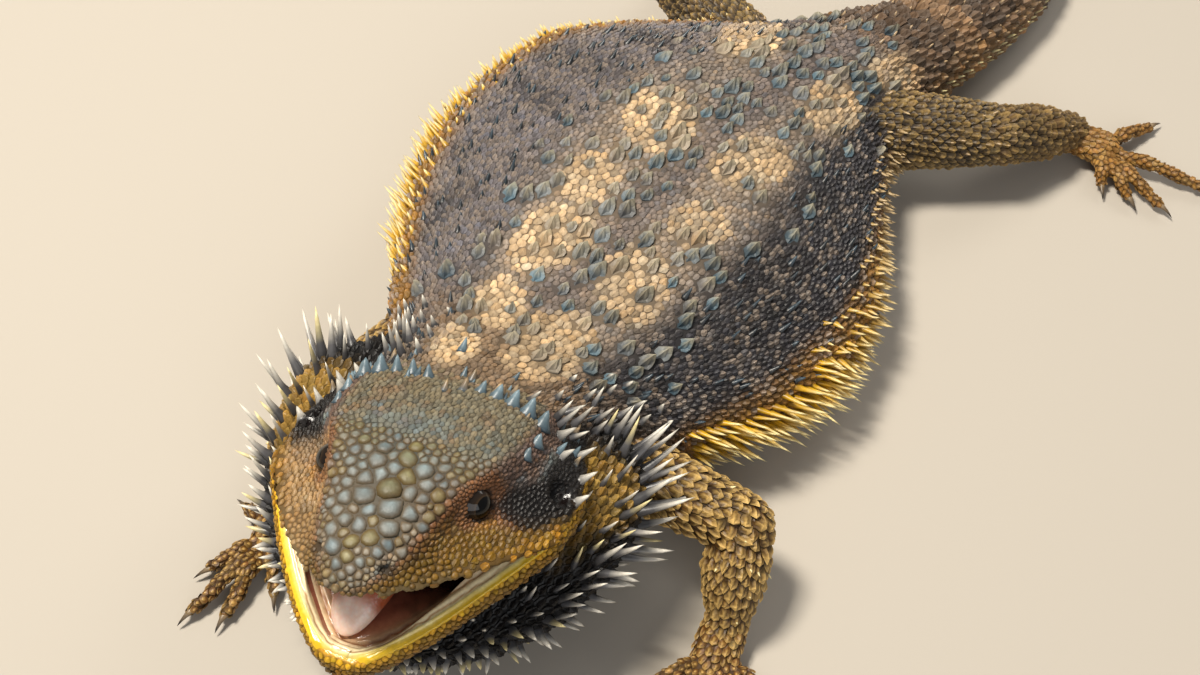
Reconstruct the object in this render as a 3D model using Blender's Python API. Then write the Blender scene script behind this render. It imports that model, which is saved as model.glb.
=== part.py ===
"""An adult bearded dragon at life size, resting on the floor with its mouth open and its beard spread.

The animal faces -Y and its left side is +X. Z = 0 is the floor. All sizes are in millimetres
and are turned into metres as each mesh is made.
"""
import math
import random

import bmesh
import bpy
import numpy as np
from mathutils import Vector
from mathutils.bvhtree import BVHTree

MM = 0.001
GAP = 0.3
LIMB_GAP = 0.5
SINK = 1.6

# Trunk, neck and tail: each pair is a place along Y and the value there
MIDLINE_X = ((-84, 9), (-62, 6), (-46, 3), (-23, 1.2), (0, 0), (26, 0.3), (60, 2.3), (90, 7.3), (113, 14),
             (135, 19), (157, 21), (190, 17), (225, 7), (262, -3), (300, -5), (327, 1))
LEFT_HALF = ((-84, 24), (-70, 27), (-60, 33), (-50, 40), (-41, 44), (-19, 55), (6, 59.5), (20, 57.5),
             (35, 51), (47, 44), (60, 36), (72, 30), (84, 25), (96, 20.5), (113, 16.5), (135, 14.5),
             (157, 13), (190, 10.5), (225, 8), (262, 5.5), (300, 3.2), (327, 1.2))
RIGHT_HALF = ((-84, 24), (-70, 26), (-60, 31), (-50, 38), (-41, 45), (-19, 57), (6, 64.5), (20, 65.5),
              (35, 64), (47, 58), (58, 50), (68, 40), (78, 31), (96, 20.5), (113, 16.5), (135, 14.5),
              (157, 13), (190, 10.5), (225, 8), (262, 5.5), (300, 3.2), (327, 1.2))
BACK_Z = ((-84, 56), (-70, 52), (-60, 47), (-50, 42), (-41, 39.5), (-23, 38.5), (0, 38), (26, 37.5),
          (60, 35), (90, 30), (113, 25.5), (135, 22.5), (157, 20), (190, 16), (225, 12.5), (262, 9),
          (300, 5.8), (327, 2.6))
LEFT_EDGE_Z = ((-84, 40), (-70, 35), (-60, 27), (-50, 20), (-41, 18), (-19, 15), (6, 14), (47, 14),
               (96, 12), (135, 9.5), (190, 6.5), (262, 3.8), (327, 1.2))
RIGHT_EDGE_Z = ((-84, 40), (-70, 35), (-60, 29), (-50, 25.5), (-41, 25.5), (-19, 27), (6, 28), (35, 27),
                (58, 22), (78, 15), (96, 12), (135, 9.5), (190, 6.5), (262, 3.8), (327, 1.2))
BELLY_Z = ((-84, 26), (-70, 17), (-60, 8), (-50, 1), (-42, -2), (90, -2), (135, -2), (190, -1.5), (262, -1),
           (327, -0.4))
NECK_START, NECK_END, TRUNK_END = -82.0, -47.0, 92.0
TAIL_CUTS = (92.0, 142.0, 200.0, 262.0, 327.0)
TRUNK_SIDES = 26

# Head: its place and turn, then profiles along the skull from the occiput forward
HEAD_AT = (8.6, -79.9, 57.2)
HEAD_YAW, HEAD_PITCH, HEAD_ROLL = 16.2, 10.4, 2.8
SNOUT = 51.4
LIP_CURVE, LIP_SLOPE = 4.63, 0.22
MOUTH_CORNER = 20.0
ROOF = ((-9, -5), (0, 0), (10, 1.4), (22, 2.4), (32, 1.4), (40, -0.4), (46, -2.6), (50, -5.2), (51.4, -7))
BROW_OUT = ((-9, 19), (0, 20.5), (10, 19.8), (16, 18.6), (23, 15.6), (30, 12.8), (37, 10.8), (44, 8.4),
            (49, 5), (51.4, 1.8))
BROW_UP = ((-9, -7), (0, -3.4), (10, -1), (16, 0.2), (23, 0.6), (30, -1.2), (37, -2.8), (44, -4.6),
           (49, -6.4), (51.4, -7.4))
LIP_UP = ((-9, -17), (0, -16.2), (10, -15.6), (20, -14.6), (28, -12.4), (35, -10.8), (45, -9.4),
          (51.4, -8.8))
REAR_OUT = ((-9, 27), (0, 31.5), (10, 33), (20, 32.8))
CHEEK_HOLLOW = ((-9, 0), (8, 0.05), (16, 0.7), (24, 1), (34, 0.8), (44, 0.4), (51.4, 0.1))
PALATE_UP = ((-9, -17), (4, -16), (8, -12), (15, -9), (30, -6.8), (44, -6.4), (49, -7.4), (51.4, -8.2))

# Lower jaw: the rim drops from the corner of the mouth to the chin
CHIN = 53.7
JAW_CURVE, JAW_SLOPE = 3.82, 0.306
JAW_DROP = 0.4
JAW_SHIFT = -1.2
GUM_WIDTH, FLOOR_DEPTH = 6.0, 5.0
JAW_DEPTH = ((-7, 9), (10, 12), (20, 12), (35, 10.5), (46, 8.5), (51, 6.5), (53.7, 4))
TONGUE_FRONT, TONGUE_BACK, TONGUE_HALF, TONGUE_HIGH = 46.0, 16.0, 9.5, 6.0

# Eyes, nostrils and ears: forward, outward and upward from the occiput
EYE_AT, EYE_RADIUS = (22.0, 14.2, -6.6), 4.6
LID_RADIUS, LID_THICK = 4.4, 1.1
NOSTRIL_AT, NOSTRIL_RADIUS = (44.2, 8.2, -5.8), 1.1
EAR_AT, EAR_RADIUS = (9.0, 29.6, -10.4), 2.9

# Beard: stations forward of the occiput, on the level
BEARD_HALF = ((-20, 27), (-14, 36), (-8, 41.5), (0, 43), (10, 41.5), (22, 37), (34, 28.5), (44, 17),
              (51, 6))
BEARD_TOP = ((-20, 44), (-8, 44), (10, 42), (34, 40), (44, 37), (51, 34))
BEARD_EDGE = ((-20, 33), (-8, 31), (10, 27), (34, 25), (44, 27), (51, 31))
BEARD_LOW = ((-20, 6), (-8, 1.5), (0, 0.4), (14, 0.4), (24, 3), (34, 8), (44, 16), (51, 27))

# Spines. Fringe rows along the trunk's edges: degrees above the edge, spacing, length factor
FRINGE_ROWS_LEFT = ((-14, 6.2, 0.85), (2, 5.6, 1.0), (17, 6.8, 0.8))
FRINGE_ROWS_RIGHT = ((-6, 6.2, 1.0), (11, 6.2, 0.85))
FRINGE_LENGTH = ((-44, 5.5), (-34, 8), (-15, 8.5), (10, 7), (45, 6), (75, 5), (90, 3.6))
FRINGE_WIDTH = 2.6
BACK_SPINES, BACK_SPINE_LENGTH, BACK_SPINE_WIDTH = 40, 2.4, 2.6
TAIL_ROWS = ((4, 8.0, 1.0), (48, 13.0, 0.7), (132, 13.0, 0.7), (176, 8.0, 1.0))
TAIL_LENGTH = ((92, 3.8), (160, 3.0), (230, 2.2), (327, 0.9))
TAIL_WIDTH = ((92, 2.3), (160, 2.0), (230, 1.6), (327, 0.9))

# Beard rows: degrees above the widest line, spacing, length factor, then the length along the jaw
BEARD_ROWS = ((24, 8.5, 0.75), (6, 7.6, 1.0), (-13, 8.4, 0.95), (-34, 10.0, 0.8), (-56, 13.0, 0.6))
BEARD_SPINE_LENGTH = ((-18, 9), (-6, 11), (6, 9.5), (22, 7.5), (36, 6), (50, 4))
BEARD_SPINE_WIDTH = 2.3

# Head and neck spines, in the skull's frame: forward, out to the side, up, length, width
CROWN_SPINES = ((-2.6, 6.0, -1.2, 3.0, 2.8), (-2.4, 9.6, -1.6, 3.4, 3.0), (-2.0, 13.2, -2.4, 3.8, 3.2),
                (-1.6, 16.8, -3.4, 4.0, 3.4), (-0.8, 20.2, -4.8, 3.8, 3.2), (4.4, 21.8, -4.0, 2.6, 2.6),
                (9.2, 21.6, -3.2, 2.4, 2.4), (-4.5, 24.5, -8.0, 4.6, 2.4), (0.5, 26.5, -8.6, 3.6, 2.4),
                (-4.0, 28.5, -12.0, 5.0, 2.3), (2.0, 31.4, -12.6, 4.4, 2.3), (8.0, 32.8, -12.8, 3.6, 2.2))
NECK_ROWS = ((34, 5.2, 1.0), (52, 6.5, 0.7))
NECK_SPINE_LENGTH, NECK_SPINE_WIDTH = 7.0, 2.5
LIMB_SPINE_LENGTH, LIMB_SPINE_WIDTH = 2.9, 2.3
SHORT_SPINE = 4.2

# Colour and roughness of each node, by the start of its name
COLOURS = {
    "head": (0.31, 0.24, 0.15, 0.75), "lower_jaw": (0.42, 0.24, 0.04, 0.6), "tongue": (0.62, 0.42, 0.33, 0.4),
    "beard": (0.02, 0.018, 0.016, 0.8), "neck": (0.3, 0.22, 0.15, 0.8), "torso": (0.27, 0.21, 0.17, 0.8),
    "tail": (0.21, 0.14, 0.1, 0.8),
    "left_upper_arm": (0.33, 0.22, 0.1, 0.75), "right_upper_arm": (0.33, 0.22, 0.1, 0.75),
    "left_thigh": (0.14, 0.1, 0.07, 0.8), "right_thigh": (0.14, 0.1, 0.07, 0.8),
    "left_forearm": (0.26, 0.17, 0.11, 0.75), "right_forearm": (0.26, 0.17, 0.11, 0.75),
    "left_shank": (0.16, 0.1, 0.06, 0.8), "right_shank": (0.16, 0.1, 0.06, 0.8),
    "left_hand": (0.33, 0.2, 0.09, 0.75), "right_hand": (0.33, 0.2, 0.09, 0.75),
    "left_foot": (0.36, 0.23, 0.12, 0.75), "right_foot": (0.36, 0.23, 0.12, 0.75),
    "eye": (0.02, 0.014, 0.01, 0.1), "claw": (0.09, 0.06, 0.035, 0.35),
}


def smooth(keys, x):
    """The value at x of a smooth curve through the pairs in keys, flat beyond both ends."""
    if x <= keys[0][0]:
        return keys[0][1]
    if x >= keys[-1][0]:
        return keys[-1][1]
    i = max(k for k in range(len(keys) - 1) if keys[k][0] <= x)

    def slope(k):
        if k == 0 or k == len(keys) - 1:
            a, b = (0, 1) if k == 0 else (k - 1, k)
            return (keys[b][1] - keys[a][1]) / (keys[b][0] - keys[a][0])
        before = (keys[k][1] - keys[k - 1][1]) / (keys[k][0] - keys[k - 1][0])
        after = (keys[k + 1][1] - keys[k][1]) / (keys[k + 1][0] - keys[k][0])
        return 0.0 if before * after <= 0 else 2 * before * after / (before + after)

    (x0, v0), (x1, v1) = keys[i], keys[i + 1]
    span = x1 - x0
    t = (x - x0) / span
    return (v0 * (2 * t**3 - 3 * t**2 + 1) + slope(i) * span * (t**3 - 2 * t**2 + t)
            + v1 * (3 * t**2 - 2 * t**3) + slope(i + 1) * span * (t**3 - t**2))


def unit(v):
    v = np.asarray(v, float)
    return v / np.linalg.norm(v)


def power_arc(angle, power):
    """Cosine and sine of the angle, squared off by the power: 2 is round and 3 is boxy."""
    c, s = math.cos(angle), math.sin(angle)
    return (math.copysign(abs(c) ** (2 / power), c), math.copysign(abs(s) ** (2 / power), s))


def curve_through(points, count):
    """Points evenly along a smooth open curve through the control points."""
    p = [np.asarray(q, float) for q in points]
    p = [2 * p[0] - p[1]] + p + [2 * p[-1] - p[-2]]
    out = []
    for k in range(count):
        x = k / (count - 1) * (len(p) - 3)
        i = min(int(x), len(p) - 4)
        t = x - i
        a, b, c, d = p[i:i + 4]
        square, cube = 2 * a - 5 * b + 4 * c - d, 3 * b - a - 3 * c + d
        out.append(0.5 * (2 * b + (c - a) * t + square * t**2 + cube * t**3))
    return out


def above_floor(point, least=0.0):
    return np.array([point[0], point[1], max(point[2], least)])


# Mesh makers

def colour_material(name, colour, roughness, metallic=0.0):
    material = bpy.data.materials.new(name)
    material.use_nodes = True
    shader = material.node_tree.nodes["Principled BSDF"]
    shader.inputs["Base Color"].default_value = (*colour, 1.0)
    shader.inputs["Roughness"].default_value = roughness
    shader.inputs["Metallic"].default_value = metallic
    return material


def mesh_object(name, points, faces, collection=None):
    mesh = bpy.data.meshes.new(name)
    mesh.from_pydata([tuple(float(c) * MM for c in p) for p in points], [], [tuple(f) for f in faces])
    obj = bpy.data.objects.new(name, mesh)
    (collection or bpy.context.scene.collection).objects.link(obj)
    skin = bmesh.new()
    skin.from_mesh(mesh)
    bmesh.ops.triangulate(skin, faces=skin.faces)
    bmesh.ops.recalc_face_normals(skin, faces=skin.faces)
    if skin.calc_volume(signed=True) < 0:
        bmesh.ops.reverse_faces(skin, faces=skin.faces)
    skin.to_mesh(mesh)
    skin.free()
    return obj


def loft(rings):
    """Points and faces of a closed solid through rings of equal count, with a fan over each end."""
    count = len(rings[0])
    points = [p for ring in rings for p in ring]
    faces = []
    for r in range(len(rings) - 1):
        for k in range(count):
            n = (k + 1) % count
            faces.append((r * count + k, r * count + n, (r + 1) * count + n, (r + 1) * count + k))
    first, last = len(points), len(points) + 1
    points.append(np.mean(rings[0], axis=0))
    points.append(np.mean(rings[-1], axis=0))
    base = (len(rings) - 1) * count
    for k in range(count):
        n = (k + 1) % count
        faces.append((first, n, k))
        faces.append((last, base + k, base + n))
    return points, faces


def spine(root, along, length, width, bend=(0, 0, 0.2), sides=4, least=0.6):
    """One tapered spine: its root sunk by SINK, and a curve at its middle unless it is short."""
    along = unit(along)
    side = unit(np.cross(along, (0.13, 0.21, 0.97)))
    other = np.cross(along, side)
    bend = np.asarray(bend, float) * length
    root = np.asarray(root, float)
    places = ((-SINK, 1.0, 0.0), (0.45 * length, 0.66, 0.2), (length, 0.0, 1.0))
    if length < SHORT_SPINE:
        places = ((-SINK, 1.3, 0.0), (length, 0.0, 1.0))
    points, faces = [], []
    for at, scale, turn in places:
        centre = root + along * at + bend * turn
        if scale == 0:
            points.append(above_floor(centre, least))
            break
        for k in range(sides):
            a = 2 * math.pi * (k + 0.5) / sides
            outward = (side * math.cos(a) + other * math.sin(a)) * width * scale / 2
            points.append(above_floor(centre + outward, least))
    tip = len(points) - 1
    for k in range(sides):
        n = (k + 1) % sides
        if tip > sides:
            faces.append((k, n, sides + n, sides + k))
        faces.append((tip - sides + k, tip - sides + n, tip))
    faces.append(tuple(reversed(range(sides))))
    return points, faces


def apply_boolean(obj, operation, collection, solver):
    change = obj.modifiers.new("join", "BOOLEAN")
    change.operation = operation
    change.operand_type = "COLLECTION"
    change.collection = collection
    change.solver = solver
    bpy.context.view_layer.objects.active = obj
    bpy.ops.object.modifier_apply(modifier=change.name)


def keep_largest(obj):
    """Removes every closed surface of the mesh but the largest."""
    skin = bmesh.new()
    skin.from_mesh(obj.data)
    skin.faces.ensure_lookup_table()
    seen, groups = set(), []
    for start in skin.faces:
        if start.index in seen:
            continue
        group, queue = [], [start]
        seen.add(start.index)
        while queue:
            face = queue.pop()
            group.append(face)
            for edge in face.edges:
                for far in edge.link_faces:
                    if far.index not in seen:
                        seen.add(far.index)
                        queue.append(far)
        groups.append(group)
    groups.sort(key=lambda group: sum(face.calc_area() for face in group))
    for group in groups[:-1]:
        bmesh.ops.delete(skin, geom=group, context="FACES")
    bmesh.ops.triangulate(skin, faces=skin.faces)
    skin.to_mesh(obj.data)
    skin.free()


def fuse(obj, pieces, solver="MANIFOLD"):
    """Joins closed pieces to obj by one union, then removes them."""
    group = bpy.data.collections.new(obj.name + "_pieces")
    bpy.context.scene.collection.children.link(group)
    for k, piece in enumerate(pieces):
        mesh_object(f"{obj.name}_piece_{k}", *piece, collection=group)
    apply_boolean(obj, "UNION", group, solver)
    for piece in list(group.objects):
        bpy.data.objects.remove(piece)
    bpy.data.collections.remove(group)
    keep_largest(obj)


def clear_of(obj, shapes, solver="MANIFOLD"):
    """Cuts obj clear of its neighbours, whose shapes are already grown by the gap."""
    group = bpy.data.collections.new(obj.name + "_cutters")
    bpy.context.scene.collection.children.link(group)
    for k, shape in enumerate(shapes):
        mesh_object(f"{obj.name}_cutter_{k}", *shape, collection=group)
    apply_boolean(obj, "DIFFERENCE", group, solver)
    for cutter in list(group.objects):
        bpy.data.objects.remove(cutter)
    bpy.data.collections.remove(group)
    keep_largest(obj)


def finish(obj):
    key = max((name for name in COLOURS if obj.name.startswith(name)), key=len)
    *colour, roughness = COLOURS[key]
    obj.data.materials.clear()
    obj.data.materials.append(colour_material(obj.name, colour, roughness))
    obj.data.shade_smooth()
    obj.data.set_sharp_from_angle(angle=math.radians(40))
    return obj


# Trunk surface

def trunk_frame(y):
    """The back's middle at y, the unit vector across to the left and the one along to the tail."""
    x = smooth(MIDLINE_X, y)
    slope = (smooth(MIDLINE_X, y + 1) - smooth(MIDLINE_X, y - 1)) / 2
    along = unit((slope, 1, 0))
    return np.array([x, y, 0.0]), np.array([along[1], -along[0], 0.0]), along


def trunk_point(y, angle, out=0.0):
    """A point on the trunk's skin: angle 0 is the left edge, 90 degrees the back and 180 the right edge."""
    centre, across, _ = trunk_frame(y)
    left = math.cos(angle) >= 0
    half = smooth(LEFT_HALF if left else RIGHT_HALF, y)
    edge_left, edge_right = smooth(LEFT_EDGE_Z, y), smooth(RIGHT_EDGE_Z, y)
    top, low = smooth(BACK_Z, y), smooth(BELLY_Z, y)
    upper = math.sin(angle) >= 0
    c, s = power_arc(angle, 2.0 if upper else 2.3)
    edge = edge_left if left else edge_right
    z = edge + s * ((top - edge) if upper else (edge - low))
    return above_floor(centre + across * c * (half + out) + np.array([0, 0, z + s * out]))


def trunk_ring(y, sides, grow):
    return [trunk_point(y, 2 * math.pi * k / sides, grow) for k in range(sides)]


def trunk_shape(y0, y1, stations, sides=TRUNK_SIDES, grow=0.0):
    y0, y1 = y0 - grow, y1 + grow
    return loft([trunk_ring(y0 + (y1 - y0) * k / (stations - 1), sides, grow) for k in range(stations)])


# Head surface

def head_axes():
    yaw, pitch, roll = (math.radians(v) for v in (HEAD_YAW, HEAD_PITCH, HEAD_ROLL))
    forward = np.array([math.sin(yaw) * math.cos(pitch), -math.cos(yaw) * math.cos(pitch), math.sin(pitch)])
    level = np.array([math.cos(yaw), math.sin(yaw), 0.0])
    up = np.cross(forward, level)
    left = level * math.cos(roll) + up * math.sin(roll)
    return forward, left, up * math.cos(roll) - level * math.sin(roll)


FORWARD, LEFT, UP = head_axes()


def head_point(f, out, up):
    return np.array(HEAD_AT) + FORWARD * f + LEFT * out + UP * up


def lip_out(f):
    ahead = SNOUT - f
    if f < MOUTH_CORNER:
        return smooth(REAR_OUT, f)
    return LIP_CURVE * math.sqrt(max(ahead, 0)) + LIP_SLOPE * ahead + 0.4


def half_section(points, count):
    """Evenly many points along a smooth line through a half section's corners."""
    return curve_through([(p[0], p[1], 0) for p in points], count)


def mirrored_ring(half, place):
    """The ring of a half section, from the top middle down the left side and back up the right side."""
    ring = [place(p[0], p[1]) for p in half]
    ring += [place(-p[0], p[1]) for p in reversed(half[1:-1])]
    return ring


def head_section(f, grow=0.0, count=12):
    roof, brow, brow_up = smooth(ROOF, f), smooth(BROW_OUT, f), smooth(BROW_UP, f)
    out, lip = lip_out(f), smooth(LIP_UP, f)
    palate = lip if grow else smooth(PALATE_UP, f)
    out = max(out, brow + 0.2)
    roof, brow, brow_up, out = roof + grow, brow + grow, brow_up + grow, out + grow
    lip, palate = lip - grow, palate - grow
    hollow = smooth(CHEEK_HOLLOW, f)
    upper, lower = 0.42 - 0.32 * hollow, 0.86 - 0.24 * hollow
    corners = ((0, roof), (0.55 * brow, roof - 0.15 * (roof - brow_up)), (brow, brow_up),
               (brow + upper * (out - brow), brow_up + 0.45 * (lip - brow_up)),
               (brow + lower * (out - brow), brow_up + 0.8 * (lip - brow_up)), (out, lip + 0.6),
               (out - 0.09 * out, lip), (0.62 * out, 0.5 * (palate + lip)), (0, palate))
    half = half_section(corners, count)
    return mirrored_ring(half, lambda side, up: head_point(f, side, up))


def head_shape(grow=0.0):
    """The skull and upper lips with the roof of the mouth, filled in when it is grown as a cutter."""
    stations = [-9 - grow, -4, 1, 6, 11, 15, 19, 23, 27, 31, 35, 39.5, 44, 47.5, 49.8, 51.2]
    return loft([head_section(f, grow) for f in stations])


def jaw_out(f):
    if f < MOUTH_CORNER:
        return smooth(REAR_OUT, f)
    ahead = CHIN - f
    return JAW_CURVE * math.sqrt(max(ahead, 0)) + JAW_SLOPE * ahead + 0.4


def jaw_rim(f):
    if f < MOUTH_CORNER:
        return smooth(LIP_UP, f) - GAP
    return smooth(LIP_UP, MOUTH_CORNER) - GAP - JAW_DROP * (f - MOUTH_CORNER)


def jaw_section(f, grow=0.0, count=11):
    out, rim = jaw_out(f) + grow, jaw_rim(f) + grow
    inner = max(out - GUM_WIDTH, 0.3 * out)
    hollow = min(1.0, max(0.0, (f - 4) / 5)) * min(1.0, max(0.0, (CHIN - 4 - f) / 4 + 0.15))
    floor = rim - 0.05 - FLOOR_DEPTH * hollow
    if grow:
        floor, hollow = rim, 0.0
    low = rim - smooth(JAW_DEPTH, f) - 2 * grow
    corners = ((0, floor), (0.75 * inner, floor), (inner, rim - 0.4 - 0.35 * FLOOR_DEPTH * hollow),
               (out - 0.25 * out, rim), (out, rim - 0.8), (0.93 * out, rim - 0.5 * (rim - low)),
               (0.6 * out, low), (0, low - 1.0))
    shift = JAW_SHIFT * min(1.0, max(0.0, (f - 12) / 20))
    half = half_section(corners, count)
    return mirrored_ring(half, lambda side, up: head_point(f, side + shift, up))


def jaw_shape(grow=0.0):
    """The lower jaw with its rim and hollow floor, or filled in when it is grown as a cutter."""
    stations = [-7 - grow, -2, 4, 9, 14, 20, 26, 32, 38, 43.5, 48, 51.3, 53.2 + grow]
    return loft([jaw_section(f, grow) for f in stations])


def tongue_shape():
    rings = []
    for k in range(8):
        t = k / 7
        f = TONGUE_BACK + (TONGUE_FRONT - TONGUE_BACK) * t
        swell = math.sqrt(max(0.03, 1 - ((t - 0.35) / 0.66) ** 2))
        base = jaw_rim(f) - FLOOR_DEPTH + 1.5
        ring = []
        for j in range(11):
            c, s = power_arc(2 * math.pi * j / 11, 2.2)
            up = base + (s * TONGUE_HIGH if s > 0 else s * 0.5) * swell
            ring.append(head_point(f, JAW_SHIFT + c * TONGUE_HALF * swell, up))
        rings.append(ring)
    return loft(rings)


def ball(centre, radius, rings=7, sides=10, axis=(0, 0, 1)):
    axis = unit(axis)
    side = unit(np.cross(axis, (0.3, 0.2, 0.93)))
    other = np.cross(axis, side)
    sections = []
    for k in range(rings):
        polar = math.pi * (k + 0.5) / rings
        ring_radius, height = radius * math.sin(polar), radius * math.cos(polar)
        middle = np.asarray(centre) + axis * height
        turns = [2 * math.pi * j / sides for j in range(sides)]
        sections.append([middle + (side * math.cos(a) + other * math.sin(a)) * ring_radius for a in turns])
    return loft(sections)


def hoop(centre, axis, along, radius, thick, squash, sides=14, around=6):
    """A ring-shaped lid about an eye, lower than it is long."""
    axis = unit(axis)
    along = unit(np.asarray(along) - axis * np.dot(along, axis))
    other = np.cross(axis, along)
    points, faces = [], []
    for k in range(sides):
        a = 2 * math.pi * k / sides
        outward = along * math.cos(a) + other * math.sin(a) * squash
        for j in range(around):
            b = 2 * math.pi * j / around
            rise = axis * thick * 0.8 * math.sin(b)
            points.append(np.asarray(centre) + outward * (radius + thick * math.cos(b)) + rise)
            m, n = (k + 1) % sides, (j + 1) % around
            faces.append((k * around + j, m * around + j, m * around + n, k * around + n))
    return points, faces


# Beard surface

def beard_point(f, angle):
    yaw = math.radians(HEAD_YAW)
    forward = np.array([math.sin(yaw), -math.cos(yaw), 0.0])
    across = np.array([math.cos(yaw), math.sin(yaw), 0.0])
    half, top, edge, low = (smooth(keys, f) for keys in (BEARD_HALF, BEARD_TOP, BEARD_EDGE, BEARD_LOW))
    c, s = power_arc(angle, 2.2 if math.sin(angle) > 0 else 1.8)
    z = edge + s * ((top - edge) if s > 0 else (edge - low))
    base = np.array([HEAD_AT[0], HEAD_AT[1], 0.0])
    return above_floor(base + forward * f + across * c * half + np.array([0, 0, z]), 0.0)


def beard_normal(f, angle):
    a = beard_point(f, angle + 0.04) - beard_point(f, angle - 0.04)
    b = beard_point(f + 0.7, angle) - beard_point(f - 0.7, angle)
    normal = unit(np.cross(a, b))
    centre = beard_point(f, 0) * 0.5 + beard_point(f, math.pi) * 0.5
    return normal if np.dot(normal, beard_point(f, angle) - centre) > 0 else -normal


def beard_shape():
    stations = [-20, -14, -8, -2, 5, 12, 19, 26, 33, 39, 44, 48, 50.8]
    return loft([[beard_point(f, 2 * math.pi * k / 20) for k in range(20)] for f in stations])


# Limbs

def segment(ends, radii, grow=0.0, flat=1.0, sides=9, rings=8):
    """A limb length with round ends: radii are the half widths at its start, middle and end."""
    start, stop = (np.asarray(p, float) for p in ends)
    radii = [radius + grow for radius in radii]
    along = unit(stop - start)
    side = unit(np.cross(along, (0, 0, 1)))
    other = np.cross(side, along)
    length = np.linalg.norm(stop - start)
    keys = ((0, radii[0]), (0.5, radii[1]), (1, radii[2]))
    sections = []
    for k in range(rings):
        polar = math.pi * (k + 0.35) / (rings - 0.3)
        t = 0.5 - 0.5 * math.cos(polar)
        reach = (t - 0.5) * (length + radii[0] + radii[2]) + 0.5 * (length + radii[2] - radii[0])
        radius = smooth(keys, min(1, max(0, reach / length)))
        if reach < 0:
            radius *= math.sqrt(max(0.04, 1 - (reach / radii[0]) ** 2))
        if reach > length:
            radius *= math.sqrt(max(0.04, 1 - ((reach - length) / radii[2]) ** 2))
        centre = start + along * reach
        turns = [2 * math.pi * j / sides for j in range(sides)]
        sections.append([above_floor(centre + (side * math.cos(a) + other * flat * math.sin(a)) * radius)
                         for a in turns])
    return loft(sections)


def toe(points, radii, grow=0.0, sides=5, rings=5):
    path = curve_through(points, rings)
    radii = [radius + grow for radius in radii]
    sections = []
    for k, centre in enumerate(path):
        ahead = path[min(k + 1, rings - 1)] - path[max(k - 1, 0)]
        side = unit(np.cross(ahead, (0, 0, 1)))
        other = unit(np.cross(side, ahead))
        radius = radii[0] + (radii[1] - radii[0]) * k / (rings - 1)
        if k == rings - 1:
            radius *= 0.6
        turns = [2 * math.pi * (j + 0.5) / sides for j in range(sides)]
        sections.append([above_floor(centre + (side * math.cos(a) + other * math.sin(a)) * radius)
                         for a in turns])
    return loft(sections)


def claw(tip_of_toe, along, length, width):
    """A small curved claw that starts one gap beyond the toe's end and comes down to the floor."""
    along = unit((along[0], along[1], 0))
    side = np.array([-along[1], along[0], 0])
    points, faces = [], []
    sides = 5
    for at, radius, z in ((GAP, 0.5, 1.9), (0.45 * length, 0.4, 1.75)):
        for k in range(sides):
            a = 2 * math.pi * k / sides
            points.append(above_floor(tip_of_toe + along * at + side * width * radius * math.cos(a)
                                      + np.array([0, 0, z - tip_of_toe[2] + width * radius * math.sin(a)])))
    points.append(np.array([*(tip_of_toe + along * length)[:2], 0.25]))
    for k in range(sides):
        n = (k + 1) % sides
        faces.append((k, n, sides + n, sides + k))
        faces.append((sides + k, sides + n, 2 * sides))
    faces.append(tuple(reversed(range(sides))))
    return points, faces


# Each limb: its joints from the body outward, the half widths of its three lengths, and its toes
# as (heading in degrees from +X toward +Y, length)
LIMBS = {
    "left_arm": dict(names=("left_upper_arm", "left_forearm", "left_hand"),
                     joints=((33, -57, 24), (66, -51, 21), (73, -65, 7), (75.5, -73, 4)),
                     widths=((8.5, 8, 7), (7, 7.5, 5), 7.0),
                     toes=((-118, 13), (-88, 19), (-62, 22), (-38, 21), (-5, 14)), toe_radii=(2.1, 1.5)),
    "right_arm": dict(names=("right_upper_arm", "right_forearm", "right_hand"),
                      joints=((-25, -58, 22), (-35, -86, 13), (-25.5, -104, 6.5), (-23.5, -111, 4)),
                      widths=((8.5, 8, 7), (7, 7.5, 5), 7.0),
                      toes=((-48, 11), (-78, 18.5), (-95, 22), (-114, 13), (172, 8)), toe_radii=(2.1, 1.5)),
    "left_leg": dict(names=("left_thigh", "left_shank", "left_foot"),
                     joints=((22, 73, 17), (52, 93, 17), (64, 116, 7), (72.5, 118, 4.5)),
                     widths=((11, 10, 8), (8, 7.5, 5), 7.5),
                     toes=((-56, 8.5), (-33, 14), (-17, 20.5), (12, 28), (68, 16.5)), toe_radii=(2.2, 1.4)),
    "right_leg": dict(names=("right_thigh", "right_shank", "right_foot"),
                      joints=((-16, 76, 17), (-50, 88, 17), (-62, 113, 7), (-71, 117, 4.5)),
                      widths=((11, 10, 8), (8, 7.5, 5), 7.5),
                      toes=((-118, 8.5), (-141, 14), (-159, 20.5), (172, 28), (110, 16.5)),
                      toe_radii=(2.2, 1.4)),
}


def limb_toes(limb):
    """For each toe: its control points and its heading."""
    palm = np.asarray(limb["joints"][3], float)
    out = []
    for heading, length in limb["toes"]:
        a = math.radians(heading)
        ahead = np.array([math.cos(a), math.sin(a), 0])
        root = palm * (1, 1, 0) + ahead * limb["widths"][2] * 0.55 + np.array([0, 0, 3.2])
        knuckle = root + ahead * length * 0.38 + np.array([0, 0, 1.3])
        joint = root + ahead * length * 0.72
        end = root + ahead * length
        places = [root]
        for place, height in ((knuckle, 4.4), (joint, 2.7), (end, 1.9)):
            places.append(place * (1, 1, 0) + (0, 0, height))
        out.append((places, ahead))
    return out


# Spines set on the surfaces

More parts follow.
